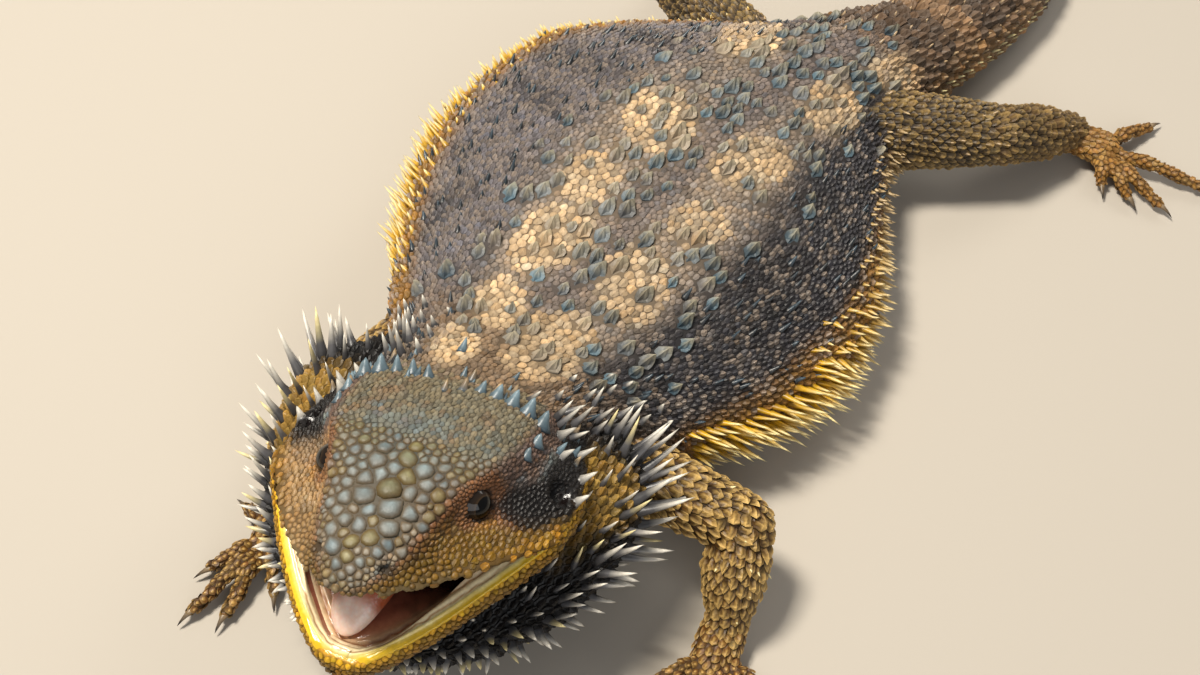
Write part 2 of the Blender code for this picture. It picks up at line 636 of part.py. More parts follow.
class Clearance:
    """Tells whether a spine would come too near another node or another node's spine."""

    def __init__(self, nodes):
        self.trees = {}
        for obj in nodes:
            corners = [vert.co for vert in obj.data.vertices]
            sides = [tuple(p.vertices) for p in obj.data.polygons]
            self.trees[obj.name] = BVHTree.FromPolygons(corners, sides)
        self.samples = []

    def samples_of(self, root, along, length, bend):
        along, bend = unit(along), np.asarray(bend, float) * length
        return [np.asarray(root) + along * length * t + bend * t * t for t in (0.2, 0.4, 0.6, 0.8, 1.0)]

    def free(self, name, root, along, length, width, bend):
        if self.trees[name].find_nearest(Vector(np.asarray(root) * MM), 1.2 * MM)[0] is None:
            return False
        points = [root - unit(along) * SINK] + self.samples_of(root, along, length, bend)
        for k, point in enumerate(points):
            reach = width * 0.5 * (1.2 - 0.2 * k) + 0.8
            if k and point[2] < 0.7:
                return False
            place = Vector(point * MM)
            for other, tree in self.trees.items():
                hit, normal, _, distance = tree.find_nearest(place, 9 * MM)
                if other == name or hit is None:
                    continue
                if distance < reach * MM or (place - hit).dot(normal) < 0:
                    return False
            for other, far, room in self.samples:
                if other != name and np.dot(point - far, point - far) < (reach + room) ** 2:
                    return False
        return True

    def keep(self, name, root, along, length, width, bend):
        for k, point in enumerate(self.samples_of(root, along, length, bend)):
            self.samples.append((name, point, width * 0.5 * (1 - 0.2 * k)))


def grow_spines(obj, clearance, wanted):
    """Fuses the wanted spines that have room; one that hasn't is turned up or shortened first."""
    pieces = []
    for root, along, length, width, bend in wanted:
        for lift, factor in ((0, 1.0), (0.5, 0.9), (0.9, 0.65)):
            turned = unit(unit(along) + np.array([0, 0, lift]))
            if clearance.free(obj.name, root, turned, length * factor, width, bend):
                clearance.keep(obj.name, root, turned, length * factor, width, bend)
                pieces.append(spine(root, turned, length * factor, width, bend, 4 if width > 2.9 else 3))
                break
    if pieces:
        fuse(obj, pieces)
    return len(pieces)


def fringe_spines(rng):
    """Rows of curved spines along both edges of the trunk, leaning toward the tail."""
    wanted = []
    for side, rows in ((0, FRINGE_ROWS_LEFT), (1, FRINGE_ROWS_RIGHT)):
        for degrees, spacing, factor in rows:
            y = -44.0 + rng.uniform(0, spacing)
            while y < TRUNK_END - 2:
                angle = math.radians(degrees + rng.uniform(-3, 3))
                angle = math.pi - angle if side else angle
                root = trunk_point(y, angle)
                _, across, along = trunk_frame(y)
                outward = across * (-1 if side else 1)
                rise = 0.25 + 0.5 * math.sin(math.radians(degrees))
                lean = unit(outward + along * 0.55 + np.array([0, 0, rise]))
                length = smooth(FRINGE_LENGTH, y) * factor * rng.uniform(0.85, 1.12)
                width = FRINGE_WIDTH * rng.uniform(0.9, 1.1)
                wanted.append((root, lean, length, width, (0, 0.06, 0.16)))
                step = np.linalg.norm(trunk_point(y + 1, angle) - root)
                y += spacing / max(step, 1.0)
    return wanted


def back_spines(rng):
    """Scattered enlarged keels over the back, thickest near its middle."""
    wanted = []
    for k in range(BACK_SPINES):
        y = -40 + 126 * (k + rng.random()) / BACK_SPINES
        angle = math.pi / 2 + rng.gauss(0, 0.42)
        root = trunk_point(y, angle)
        _, _, along = trunk_frame(y)
        size = rng.uniform(0.8, 1.15)
        lean = along * 0.8 + np.array([0, 0, 0.8])
        wanted.append((root, lean, BACK_SPINE_LENGTH * size, BACK_SPINE_WIDTH * size, (0, 0, 0)))
    return wanted


def tail_spines(y0, y1, rng):
    wanted = []
    for degrees, spacing, factor in TAIL_ROWS:
        y = y0 + 2.0 + rng.uniform(0, 2)
        while y < y1 - 2.5:
            angle = math.radians(degrees)
            root = trunk_point(y, angle)
            _, across, along = trunk_frame(y)
            outward = across * math.cos(angle) + np.array([0, 0, 0.25 + 0.7 * math.sin(angle)])
            length, width = smooth(TAIL_LENGTH, y) * factor, smooth(TAIL_WIDTH, y)
            wanted.append((root, unit(outward) + along * 1.1, length, width, (0, 0, 0.05)))
            y += spacing
    return wanted


def neck_spines(rng):
    """Clusters on the neck's sides, behind the ears."""
    wanted = []
    for degrees, spacing, factor in NECK_ROWS:
        for side in (0, 1):
            y = -72.0
            while y < -50:
                angle = math.radians(degrees + rng.uniform(-3, 3))
                angle = math.pi - angle if side else angle
                root = trunk_point(y, angle)
                _, across, along = trunk_frame(y)
                outward = across * (-1 if side else 1)
                size = factor * (1.15 - 0.03 * (y + 72)) * rng.uniform(0.9, 1.1)
                lean = outward * 0.7 + along * 0.5 + np.array([0, 0, 0.9])
                wanted.append((root, lean, NECK_SPINE_LENGTH * size, NECK_SPINE_WIDTH, (0, 0.05, 0.1)))
                y += spacing
    return wanted


def crown_spines():
    """Cones across the back of the skull, over the temples and along the rear of the upper jaw."""
    wanted = []
    for f, out, up, length, width in CROWN_SPINES:
        for side in (1, -1):
            root = head_point(f, side * out, up)
            rising = 0.9 if out < 22 else 0.35
            along = FORWARD * -0.75 + LEFT * side * (0.25 if out < 22 else 0.9) + UP * rising
            wanted.append((root, along, length, width, (0, 0, 0.08)))
    return wanted


def beard_spines(rng):
    """Rows of curved spines round the spread beard, longest at the angles of the jaw."""
    wanted = []
    yaw = math.radians(HEAD_YAW)
    forward = np.array([math.sin(yaw), -math.cos(yaw), 0.0])
    for degrees, spacing, factor in BEARD_ROWS:
        for side in (0, 1):
            f = -17.0 + rng.uniform(0, 3)
            while f < 49:
                angle = math.radians(degrees + rng.uniform(-4, 4))
                angle = math.pi - angle if side else angle
                root = beard_point(f, angle)
                outward = beard_normal(f, angle)
                lean = outward + forward * (-0.35 if f < 30 else 0.1) + np.array([0, 0, 0.1])
                length = smooth(BEARD_SPINE_LENGTH, f) * factor * rng.uniform(0.85, 1.15)
                wanted.append((root, lean, length, BEARD_SPINE_WIDTH, (0, 0, 0.1)))
                step = np.linalg.norm(beard_point(f + 1, angle) - root)
                f += spacing / max(step, 1.0)
    return wanted


def limb_spines(ends, radii, rng, hind):
    """A row of keeled spines down the outer and the rear side of a limb length."""
    start, stop = (np.asarray(p, float) for p in ends)
    along = unit(stop - start)
    side = unit(np.cross(along, (0, 0, 1)))
    over = np.cross(side, along)
    wanted = []
    for degrees in ((25, 75, 150) if hind else (35, 90, 150)):
        for k in range(3):
            t = 0.25 + 0.28 * k + rng.uniform(-0.05, 0.05)
            a = math.radians(degrees)
            radius = smooth(((0, radii[0]), (0.5, radii[1]), (1, radii[2])), t)
            outward = side * math.cos(a) + over * math.sin(a)
            root = start + (stop - start) * t + outward * radius * 0.96
            wanted.append((root, outward + along * 0.9, LIMB_SPINE_LENGTH, LIMB_SPINE_WIDTH, (0, 0, 0)))
    return wanted


def clear_scene():
    for obj in list(bpy.data.objects):
        bpy.data.objects.remove(obj)


def main():
    clear_scene()

    head = mesh_object("head", *head_shape())
    lids, eyes, sockets = [], [], []
    for side, name in ((1, "eye_left"), (-1, "eye_right")):
        centre = head_point(EYE_AT[0], side * EYE_AT[1], EYE_AT[2])
        look = FORWARD * 0.28 + LEFT * side * 0.93 + UP * 0.24
        lids.append(hoop(centre + unit(look) * 2.6, look, FORWARD - UP * 0.35, LID_RADIUS, LID_THICK, 0.86))
        eyes.append(mesh_object(name, *ball(centre, EYE_RADIUS, axis=look)))
        sockets.append(ball(centre, EYE_RADIUS + GAP, axis=look))
        nostril = head_point(NOSTRIL_AT[0], side * NOSTRIL_AT[1], NOSTRIL_AT[2])
        sockets.append(ball(nostril, NOSTRIL_RADIUS, rings=4, sides=6, axis=look))
        ear = head_point(EAR_AT[0], side * EAR_AT[1], EAR_AT[2])
        sockets.append(ball(ear, EAR_RADIUS, rings=5, sides=8, axis=LEFT * side * 0.62 + UP * 0.78))
    fuse(head, lids)
    clear_of(head, sockets)

    head_gap, jaw_gap = head_shape(GAP), jaw_shape(GAP)
    neck_gap = trunk_shape(NECK_START, NECK_END, 7, TRUNK_SIDES, GAP)
    torso_gap = trunk_shape(NECK_END + GAP, TRUNK_END, 18, TRUNK_SIDES, GAP)
    tail_gap = trunk_shape(TAIL_CUTS[0], TAIL_CUTS[1], 6, 14, GAP)
    torso = mesh_object("torso", *trunk_shape(NECK_END + GAP / 2, TRUNK_END - GAP / 2, 18))
    neck = mesh_object("neck", *trunk_shape(NECK_START, NECK_END - GAP / 2, 7, TRUNK_SIDES))
    clear_of(neck, [head_gap])
    jaw = mesh_object("lower_jaw", *jaw_shape())
    clear_of(jaw, [head_gap, neck_gap])
    tongue = mesh_object("tongue", *tongue_shape())
    tails = []
    for k in range(4):
        y0, y1 = TAIL_CUTS[k] + GAP / 2, TAIL_CUTS[k + 1] - GAP / 2
        tails.append(mesh_object(f"tail_{k + 1}", *trunk_shape(y0, y1, 6, 14)))

    flesh = [head, jaw, torso, neck] + tails
    claws, limb_gaps = [], []
    for key, limb in LIMBS.items():
        upper, lower, paw = limb["names"]
        a, b, c, d = (np.asarray(p, float) for p in limb["joints"])
        widths = limb["widths"]
        palm = ((c + (0, 0, -1.5), d), (5, 5.5, widths[2] * 0.8))
        first = mesh_object(upper, *segment((a, b), widths[0]))
        clear_of(first, [torso_gap, neck_gap, tail_gap])
        second = mesh_object(lower, *segment((b, c), widths[1]))
        upper_gap, lower_gap = segment((a, b), widths[0], LIMB_GAP), segment((b, c), widths[1], LIMB_GAP)
        clear_of(second, [torso_gap, neck_gap, tail_gap, upper_gap])
        third = mesh_object(paw, *segment(*palm, flat=0.62, sides=8, rings=6))
        toes = limb_toes(limb)
        fuse(third, [toe(points, limb["toe_radii"]) for points, _ in toes])
        clear_of(third, [lower_gap])
        for k, (points, ahead) in enumerate(toes):
            end = points[-1] + ahead * 0.4
            claws.append(mesh_object(f"claw_{key}_{k + 1}", *claw(end, ahead, 4.0, 1.7)))
        flesh += [first, second, third]
        limb_gaps += [upper_gap, lower_gap, segment(*palm, LIMB_GAP, flat=0.62, sides=8, rings=6)]
        limb_gaps += [toe(points, limb["toe_radii"], GAP) for points, _ in toes]
    beard = mesh_object("beard", *beard_shape())
    clear_of(beard, [head_gap, jaw_gap, neck_gap, torso_gap] + limb_gaps)

    rng = random.Random(11)
    clearance = Clearance(flesh + claws + eyes + [beard, tongue])
    grow_spines(head, clearance, crown_spines())
    grow_spines(beard, clearance, beard_spines(rng))
    grow_spines(neck, clearance, neck_spines(rng))
    grow_spines(torso, clearance, fringe_spines(rng) + back_spines(rng))
    for k, tail in enumerate(tails):
        grow_spines(tail, clearance, tail_spines(TAIL_CUTS[k], TAIL_CUTS[k + 1], rng))
    for key, limb in LIMBS.items():
        a, b, c, _ = limb["joints"]
        for name, ends, radii in zip(limb["names"], ((a, b), (b, c)), limb["widths"]):
            grow_spines(bpy.data.objects[name], clearance, limb_spines(ends, radii, rng, "leg" in key))

    for obj in bpy.data.objects:
        finish(obj)


main()
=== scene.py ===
"""The looks of the bearded dragon: one hide under modelled scales and spines, with eyes, mouth and claws."""
import math

import bpy
import bmesh
import numpy as np
from mathutils import Matrix, Vector
from mathutils.bvhtree import BVHTree
from mathutils.kdtree import KDTree


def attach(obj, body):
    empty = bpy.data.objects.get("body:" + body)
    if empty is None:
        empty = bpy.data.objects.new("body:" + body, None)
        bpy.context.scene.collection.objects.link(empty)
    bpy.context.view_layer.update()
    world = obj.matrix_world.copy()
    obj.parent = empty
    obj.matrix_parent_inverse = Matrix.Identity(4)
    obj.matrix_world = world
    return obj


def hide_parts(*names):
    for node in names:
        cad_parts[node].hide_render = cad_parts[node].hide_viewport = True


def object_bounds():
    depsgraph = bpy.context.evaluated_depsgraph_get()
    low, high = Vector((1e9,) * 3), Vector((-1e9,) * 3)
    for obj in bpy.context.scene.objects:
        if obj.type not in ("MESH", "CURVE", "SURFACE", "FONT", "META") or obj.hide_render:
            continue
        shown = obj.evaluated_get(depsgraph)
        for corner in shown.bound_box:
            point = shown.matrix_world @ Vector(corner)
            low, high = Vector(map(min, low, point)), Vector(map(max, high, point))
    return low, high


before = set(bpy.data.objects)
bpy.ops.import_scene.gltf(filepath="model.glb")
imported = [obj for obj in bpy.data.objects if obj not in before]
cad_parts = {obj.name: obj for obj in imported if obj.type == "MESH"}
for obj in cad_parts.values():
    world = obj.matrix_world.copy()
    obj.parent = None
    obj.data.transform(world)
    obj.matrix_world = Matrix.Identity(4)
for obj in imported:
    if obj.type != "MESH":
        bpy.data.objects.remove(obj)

cad_box = [list(corner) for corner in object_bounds()]
bpy.ops.object.select_all(action="DESELECT")

# The camera stands in front of the animal's left shoulder and looks down on it. The head fills the lower
# left of the picture and the tail leaves it at the upper right.
MM = 0.001
CAMERA_TARGET = (10.0, -30.0, 22.0)
CAMERA_AZIMUTH, CAMERA_ELEVATION, CAMERA_DISTANCE, CAMERA_ANGLE = 37.5, 53.6, 377.0, 42.0

azimuth, elevation = math.radians(CAMERA_AZIMUTH), math.radians(CAMERA_ELEVATION)
camera_back = Vector((math.sin(azimuth) * math.cos(elevation), -math.cos(azimuth) * math.cos(elevation),
                      math.sin(elevation)))
camera_right = Vector((math.cos(azimuth), math.sin(azimuth), 0))
bpy.ops.object.camera_add()
camera = bpy.context.object
camera_turn = Matrix((camera_right, camera_back.cross(camera_right), camera_back)).transposed()
camera.matrix_world = camera_turn.to_4x4()
camera.location = (Vector(CAMERA_TARGET) + camera_back * CAMERA_DISTANCE) * MM
camera.data.lens = 18 / math.tan(math.radians(CAMERA_ANGLE / 2))
camera.data.clip_start = 0.01
bpy.context.scene.camera = camera

# The studio: a pale matt floor under the animal, a warm key light above its right side, a broad cool fill
# from its left front, a faint light from behind the tail and an even grey surround.
bpy.ops.mesh.primitive_plane_add(size=6, location=(0, 0, -0.0004))
floor = bpy.context.object
floor.name = "studio_floor"


def linear(hex_colour):
    """An sRGB hex colour as linear red, green and blue."""
    parts = [int(hex_colour[k:k + 2], 16) / 255 for k in (1, 3, 5)]
    return [c / 12.92 if c <= 0.04045 else ((c + 0.055) / 1.055) ** 2.4 for c in parts]


def new_material(name):
    """A material with its node tree and its main shader."""
    material = bpy.data.materials.new(name)
    material.use_nodes = True
    return material, material.node_tree, material.node_tree.nodes["Principled BSDF"]


# Matt paint, rolled on: it takes the soft shadows and reflects nothing.
floor_paint, _, floor_shader = new_material("pale_matt_floor_paint")
floor_shader.inputs["Base Color"].default_value = (*linear("#b4aca0"), 1)
floor_shader.inputs["Roughness"].default_value = 0.85
floor.data.materials.append(floor_paint)

# Each light: its name, its place and size in metres, its power in watts and its tint.
LIGHTS = (("key_light", (-0.38, -0.12, 1.1), 0.26, 20, (1.0, 0.94, 0.84)),
          ("fill_light", (0.9, -0.7, 0.7), 0.8, 4, (0.95, 0.97, 1.0)),
          ("rim_light", (0.1, 1.0, 0.7), 0.5, 3, (1.0, 0.97, 0.92)))
LIGHTS_AIM = Vector((0, 0, 0.02))
for name, place, size, power, tint in LIGHTS:
    bpy.ops.object.light_add(type="AREA", location=place)
    light = bpy.context.object
    light.name = name
    light.data.size = size
    light.data.energy = power
    light.data.color = tint
    light.rotation_euler = (Vector(place) - LIGHTS_AIM).to_track_quat("Z", "Y").to_euler()
world = bpy.data.worlds.new("studio_surround")
bpy.context.scene.world = world
world.use_nodes = True
surround = world.node_tree.nodes["Background"]
surround.inputs["Color"].default_value = (0.82, 0.81, 0.8, 1)
surround.inputs["Strength"].default_value = 0.28
bpy.context.scene.view_settings.view_transform = "Standard"

# The body's form: a flattened trunk that leans a little to one side, drawn through stations from the neck
# to the tail's tip. Each pair below is a place along the body and the value there, in millimetres.
MIDLINE_X = ((-84, 9), (-62, 6), (-46, 3), (-23, 1.2), (0, 0), (26, 0.3), (60, 2.3), (90, 7.3), (113, 14),
             (135, 19), (157, 21), (190, 17), (225, 7), (262, -3), (300, -5), (327, 1))
LEFT_HALF = ((-84, 24), (-70, 27), (-60, 33), (-50, 40), (-41, 44), (-19, 55), (6, 59.5), (20, 57.5),
             (35, 51), (47, 44), (60, 36), (72, 30), (84, 25), (96, 20.5), (113, 16.5), (135, 14.5),
             (157, 13), (190, 10.5), (225, 8), (262, 5.5), (300, 3.2), (327, 1.2))
RIGHT_HALF = ((-84, 24), (-70, 26), (-60, 31), (-50, 38), (-41, 45), (-19, 57), (6, 64.5), (20, 65.5),
              (35, 64), (47, 58), (58, 50), (68, 40), (78, 31), (96, 20.5), (113, 16.5), (135, 14.5),
              (157, 13), (190, 10.5), (225, 8), (262, 5.5), (300, 3.2), (327, 1.2))
BACK_Z = ((-84, 56), (-70, 52), (-60, 47), (-50, 42), (-41, 39.5), (-23, 38.5), (0, 38), (26, 37.5),
          (60, 35), (90, 30), (113, 25.5), (135, 22.5), (157, 20), (190, 16), (225, 12.5), (262, 9),
          (300, 5.8), (327, 2.6))
LEFT_EDGE_Z = ((-84, 40), (-70, 35), (-60, 27), (-50, 20), (-41, 18), (-19, 15), (6, 14), (47, 14),
               (96, 12), (135, 9.5), (190, 6.5), (262, 3.8), (327, 1.2))
RIGHT_EDGE_Z = ((-84, 40), (-70, 35), (-60, 29), (-50, 25.5), (-41, 25.5), (-19, 27), (6, 28), (35, 27),
                (58, 22), (78, 15), (96, 12), (135, 9.5), (190, 6.5), (262, 3.8), (327, 1.2))
BELLY_Z = ((-84, 26), (-70, 17), (-60, 8), (-50, 1), (-42, -2), (90, -2), (135, -2), (190, -1.5), (262, -1),
           (327, -0.4))
NECK_START, TRUNK_END, TAIL_END = -82.0, 92.0, 327.0
TRUNK_SIDES = 72
SCALE_DEPTH = 0.45
FLOOR_CLEAR = 0.25

skin_sources = []


def smooth(keys, x):
    """The value at x of a smooth curve through the pairs in keys, flat beyond both ends."""
    if x <= keys[0][0]:
        return keys[0][1]
    if x >= keys[-1][0]:
        return keys[-1][1]
    i = max(k for k in range(len(keys) - 1) if keys[k][0] <= x)

    def slope(k):
        if k == 0 or k == len(keys) - 1:
            a, b = (0, 1) if k == 0 else (k - 1, k)
            return (keys[b][1] - keys[a][1]) / (keys[b][0] - keys[a][0])
        before = (keys[k][1] - keys[k - 1][1]) / (keys[k][0] - keys[k - 1][0])
        after = (keys[k + 1][1] - keys[k][1]) / (keys[k + 1][0] - keys[k][0])
        return 0.0 if before * after <= 0 else 2 * before * after / (before + after)

    (x0, v0), (x1, v1) = keys[i], keys[i + 1]
    span = x1 - x0
    t = (x - x0) / span
    return (v0 * (2 * t**3 - 3 * t**2 + 1) + slope(i) * span * (t**3 - 2 * t**2 + t)
            + v1 * (3 * t**2 - 2 * t**3) + slope(i + 1) * span * (t**3 - t**2))


def unit(v):
    v = np.asarray(v, float)
    return v / np.linalg.norm(v)


def power_arc(angle, power):
    """Cosine and sine of the angle, squared off by the power: 2 is round and 3 is boxy."""
    c, s = math.cos(angle), math.sin(angle)
    return (math.copysign(abs(c) ** (2 / power), c), math.copysign(abs(s) ** (2 / power), s))


def above_floor(point, least=0.0):
    return np.array([point[0], point[1], max(point[2], least)])


def face_outward(mesh):
    """Turns every face of a closed mesh outward."""
    turned = bmesh.new()
    turned.from_mesh(mesh)
    bmesh.ops.recalc_face_normals(turned, faces=turned.faces)
    turned.to_mesh(mesh)
    turned.free()


def add_form(label, rings, tile, flow=None):
    """A closed mesh through rings of equal count, kept with its label, its scales' lie and its unwrap."""
    count, stations = len(rings[0]), len(rings)
    rings = np.array(rings)
    ends = np.array([rings[0].mean(axis=0), rings[-1].mean(axis=0)])
    points = np.concatenate([rings.reshape(-1, 3), ends])
    faces = []
    for r in range(stations - 1):
        for k in range(count):
            n = (k + 1) % count
            faces.append((r * count + k, r * count + n, (r + 1) * count + n, (r + 1) * count + k))
    base = (stations - 1) * count
    for k in range(count):
        n = (k + 1) % count
        faces.append((len(points) - 2, n, k))
        faces.append((len(points) - 1, base + k, base + n))
    mesh = bpy.data.meshes.new(label)
    mesh.from_pydata((points * MM).tolist(), [], faces)
    form = bpy.data.objects.new("form_" + label, mesh)
    bpy.context.scene.collection.objects.link(form)
    face_outward(mesh)
    if flow is None:
        lies = np.gradient(rings, axis=0)
    else:
        lies = np.broadcast_to(np.asarray(flow, float), rings.shape)
    u, v = np.meshgrid(np.linspace(0, 1, stations), np.arange(count) / count, indexing="ij")
    x0, y0, wide, high = tile
    unwrap = np.stack([x0 + wide * u, y0 + high * v], axis=-1)
    skin_sources.append((form, label, rings.reshape(-1, 3), lies.reshape(-1, 3), unwrap.reshape(-1, 2)))


def trunk_frame(y):
    """The back's middle at y, the unit vector across to the left and the one along to the tail."""
    x = smooth(MIDLINE_X, y)
    slope = (smooth(MIDLINE_X, y + 1) - smooth(MIDLINE_X, y - 1)) / 2
    along = unit((slope, 1, 0))
    return np.array([x, y, 0.0]), np.array([along[1], -along[0], 0.0]), along


def trunk_point(y, angle, out=0.0):
    """A point on the trunk's skin: angle 0 is the left edge, 90 degrees the back and 180 the right edge."""
    centre, across, _ = trunk_frame(y)
    left = math.cos(angle) >= 0
    half = smooth(LEFT_HALF if left else RIGHT_HALF, y)
    edge = smooth(LEFT_EDGE_Z if left else RIGHT_EDGE_Z, y)
    top, low = smooth(BACK_Z, y), smooth(BELLY_Z, y)
    upper = math.sin(angle) >= 0
    c, s = power_arc(angle, 2.0 if upper else 2.3)
    z = edge + s * ((top - edge) if upper else (edge - low))
    return above_floor(centre + across * c * (half + out) + np.array([0, 0, z + s * out]), FLOOR_CLEAR)


trunk_stations = np.concatenate([np.arange(NECK_START, 95, 2.5), np.linspace(96, TAIL_END - 1.5, 80)])
trunk_rings = [[trunk_point(y, 2 * math.pi * k / TRUNK_SIDES, -SCALE_DEPTH) for k in range(TRUNK_SIDES)]
               for y in trunk_stations]
add_form("trunk", trunk_rings, (0.01, 0.01, 0.97, 0.38))

# The head: a broad wedge with swollen jaw muscles, a blunt snout and a hollow roof of the mouth, turned a
# little to the animal's left and tipped up. Its sizes run from the back of the skull forward.
HEAD_AT = (8.6, -79.9, 57.2)
HEAD_YAW, HEAD_PITCH, HEAD_ROLL = 16.2, 10.4, 2.8
SNOUT = 51.4
LIP_CURVE, LIP_SLOPE = 4.63, 0.22
MOUTH_CORNER = 20.0
ROOF = ((-9, -5), (0, 0), (10, 1.4), (22, 2.4), (32, 1.4), (40, -0.4), (46, -2.6), (50, -5.2), (51.4, -7))
BROW_OUT = ((-9, 19), (0, 20.5), (10, 19.8), (16, 18.6), (23, 15.6), (30, 12.8), (37, 10.8), (44, 8.4),
            (49, 5), (51.4, 1.8))
BROW_UP = ((-9, -7), (0, -3.4), (10, -1), (16, 0.2), (23, 0.6), (30, -1.2), (37, -2.8), (44, -4.6),
           (49, -6.4), (51.4, -7.4))
LIP_UP = ((-9, -17), (0, -16.2), (10, -15.6), (20, -14.6), (28, -12.4), (35, -10.8), (45, -9.4),
          (51.4, -8.8))
REAR_OUT = ((-9, 27), (0, 31.5), (10, 33), (20, 32.8))
CHEEK_HOLLOW = ((-9, 0), (8, 0.05), (16, 0.7), (24, 1), (34, 0.8), (44, 0.4), (51.4, 0.1))
PALATE_UP = ((-9, -17), (4, -16), (8, -12), (15, -9), (30, -6.8), (44, -6.4), (49, -7.4), (51.4, -8.2))
EYE_AT, EYE_RADIUS = (22.0, 14.2, -6.6), 4.7
NOSTRIL_AT, NOSTRIL_RADIUS = (44.6, 7.6, -5.2), 1.35
EAR_AT, EAR_RADIUS = (9.0, 29.6, -10.4), 2.8


def head_axes():
    yaw, pitch, roll = (math.radians(v) for v in (HEAD_YAW, HEAD_PITCH, HEAD_ROLL))
    forward = np.array([math.sin(yaw) * math.cos(pitch), -math.cos(yaw) * math.cos(pitch), math.sin(pitch)])
    level = np.array([math.cos(yaw), math.sin(yaw), 0.0])
    up = np.cross(forward, level)
    left = level * math.cos(roll) + up * math.sin(roll)
    return forward, left, up * math.cos(roll) - level * math.sin(roll)


FORWARD, LEFT, UP = head_axes()


def head_point(f, out, up):
    return np.array(HEAD_AT) + FORWARD * f + LEFT * out + UP * up


def curve_through(points, count):
    """Points evenly along a smooth open curve through the control points."""
    p = [np.asarray(q, float) for q in points]
    p = [2 * p[0] - p[1]] + p + [2 * p[-1] - p[-2]]
    out = []
    for k in range(count):
        x = k / (count - 1) * (len(p) - 3)
        i = min(int(x), len(p) - 4)
        t = x - i
        a, b, c, d = p[i:i + 4]
        square, cube = 2 * a - 5 * b + 4 * c - d, 3 * b - a - 3 * c + d
        out.append(0.5 * (2 * b + (c - a) * t + square * t**2 + cube * t**3))
    return out


def mirrored_ring(corners, count, place):
    """The ring of a half section, from the top middle down the left side and back up the right side."""
    half = curve_through([(p[0], p[1], 0) for p in corners], count)
    ring = [place(p[0], p[1]) for p in half]
    ring += [place(-p[0], p[1]) for p in reversed(half[1:-1])]
    return ring


def lip_out(f):
    """How far out the upper lip runs: a round snout in front, then the swollen jaw muscles."""
    ahead = SNOUT - f
    if f < MOUTH_CORNER:
        return smooth(REAR_OUT, f)
    return LIP_CURVE * math.sqrt(max(ahead, 0)) + LIP_SLOPE * ahead + 0.4


def head_ring(f, inset):
    roof, brow, brow_up = smooth(ROOF, f) - inset, smooth(BROW_OUT, f) - inset, smooth(BROW_UP, f) - inset
    out = max(lip_out(f) - inset, brow + 0.2)
    lip, palate = smooth(LIP_UP, f) + 0.3 * inset, smooth(PALATE_UP, f)
    hollow = smooth(CHEEK_HOLLOW, f)
    upper, lower = 0.42 - 0.32 * hollow, 0.86 - 0.24 * hollow
    corners = ((0, roof), (0.55 * brow, roof - 0.15 * (roof - brow_up)), (brow, brow_up),
               (brow + upper * (out - brow), brow_up + 0.45 * (lip - brow_up)),
               (brow + lower * (out - brow), brow_up + 0.8 * (lip - brow_up)), (out, lip + 0.6),
               (out - 0.09 * out, lip), (0.62 * out, 0.5 * (palate + lip)), (0, palate))
    return mirrored_ring(corners, 34, lambda side, up: head_point(f, side, up))


head_stations = np.concatenate([np.linspace(-9, 44, 44), np.linspace(44.6, SNOUT - 0.35, 16)])
add_form("head", [head_ring(f, SCALE_DEPTH) for f in head_stations], (0.01, 0.41, 0.3, 0.28), -FORWARD)

# The lower jaw: a wide V held open, with a thick rim, a hollow floor and a chin that drops a little.
CHIN = 53.7
JAW_CURVE, JAW_SLOPE = 3.82, 0.306
JAW_DROP = 0.4
JAW_SHIFT = -1.2
JAW_GAP = 0.3
GUM_WIDTH, FLOOR_DEPTH = 6.0, 5.0
JAW_DEPTH = ((-7, 9), (10, 12), (20, 12), (35, 10.5), (46, 8.5), (51, 6.5), (53.7, 4))


def jaw_out(f):
    """How far out the lower jaw's rim runs."""
    if f < MOUTH_CORNER:
        return smooth(REAR_OUT, f)
    ahead = CHIN - f
    return JAW_CURVE * math.sqrt(max(ahead, 0)) + JAW_SLOPE * ahead + 0.4


def jaw_rim(f):
    """How high the lower jaw's rim is: along the lip behind the mouth's corner, then open."""
    if f < MOUTH_CORNER:
        return smooth(LIP_UP, f) - JAW_GAP
    return smooth(LIP_UP, MOUTH_CORNER) - JAW_GAP - JAW_DROP * (f - MOUTH_CORNER)


def jaw_shift(f):
    """How far the lower jaw hangs to one side."""
    return JAW_SHIFT * min(1.0, max(0.0, (f - 12) / 20))


def mouth_floor(f, out, rim):
    """The mouth's floor from its middle to the foot of the rim, as pairs of side and height."""
    inner = max(out - GUM_WIDTH, 0.3 * out)
    hollow = min(1.0, max(0.0, (f - 4) / 5)) * min(1.0, max(0.0, (CHIN - 4 - f) / 4 + 0.15))
    floor_up = rim - 0.05 - FLOOR_DEPTH * hollow
    return (0, floor_up), (0.75 * inner, floor_up), (inner, rim - 0.4 - 0.35 * FLOOR_DEPTH * hollow)


def jaw_ring(f, inset):
    out, rim = jaw_out(f) - inset, jaw_rim(f) - 0.5 * inset
    low = rim - smooth(JAW_DEPTH, f) + inset
    corners = (*mouth_floor(f, out, rim), (out - 0.25 * out, rim), (out, rim - 0.8),
               (0.93 * out, rim - 0.5 * (rim - low)), (0.6 * out, low), (0, low - 1.0))
    return mirrored_ring(corners, 30, lambda side, up: head_point(f, side + jaw_shift(f), up))


jaw_rings = [jaw_ring(f, SCALE_DEPTH) for f in np.linspace(-7, CHIN - 0.5, 56)]
add_form("jaw", jaw_rings, (0.33, 0.41, 0.3, 0.28), -FORWARD)

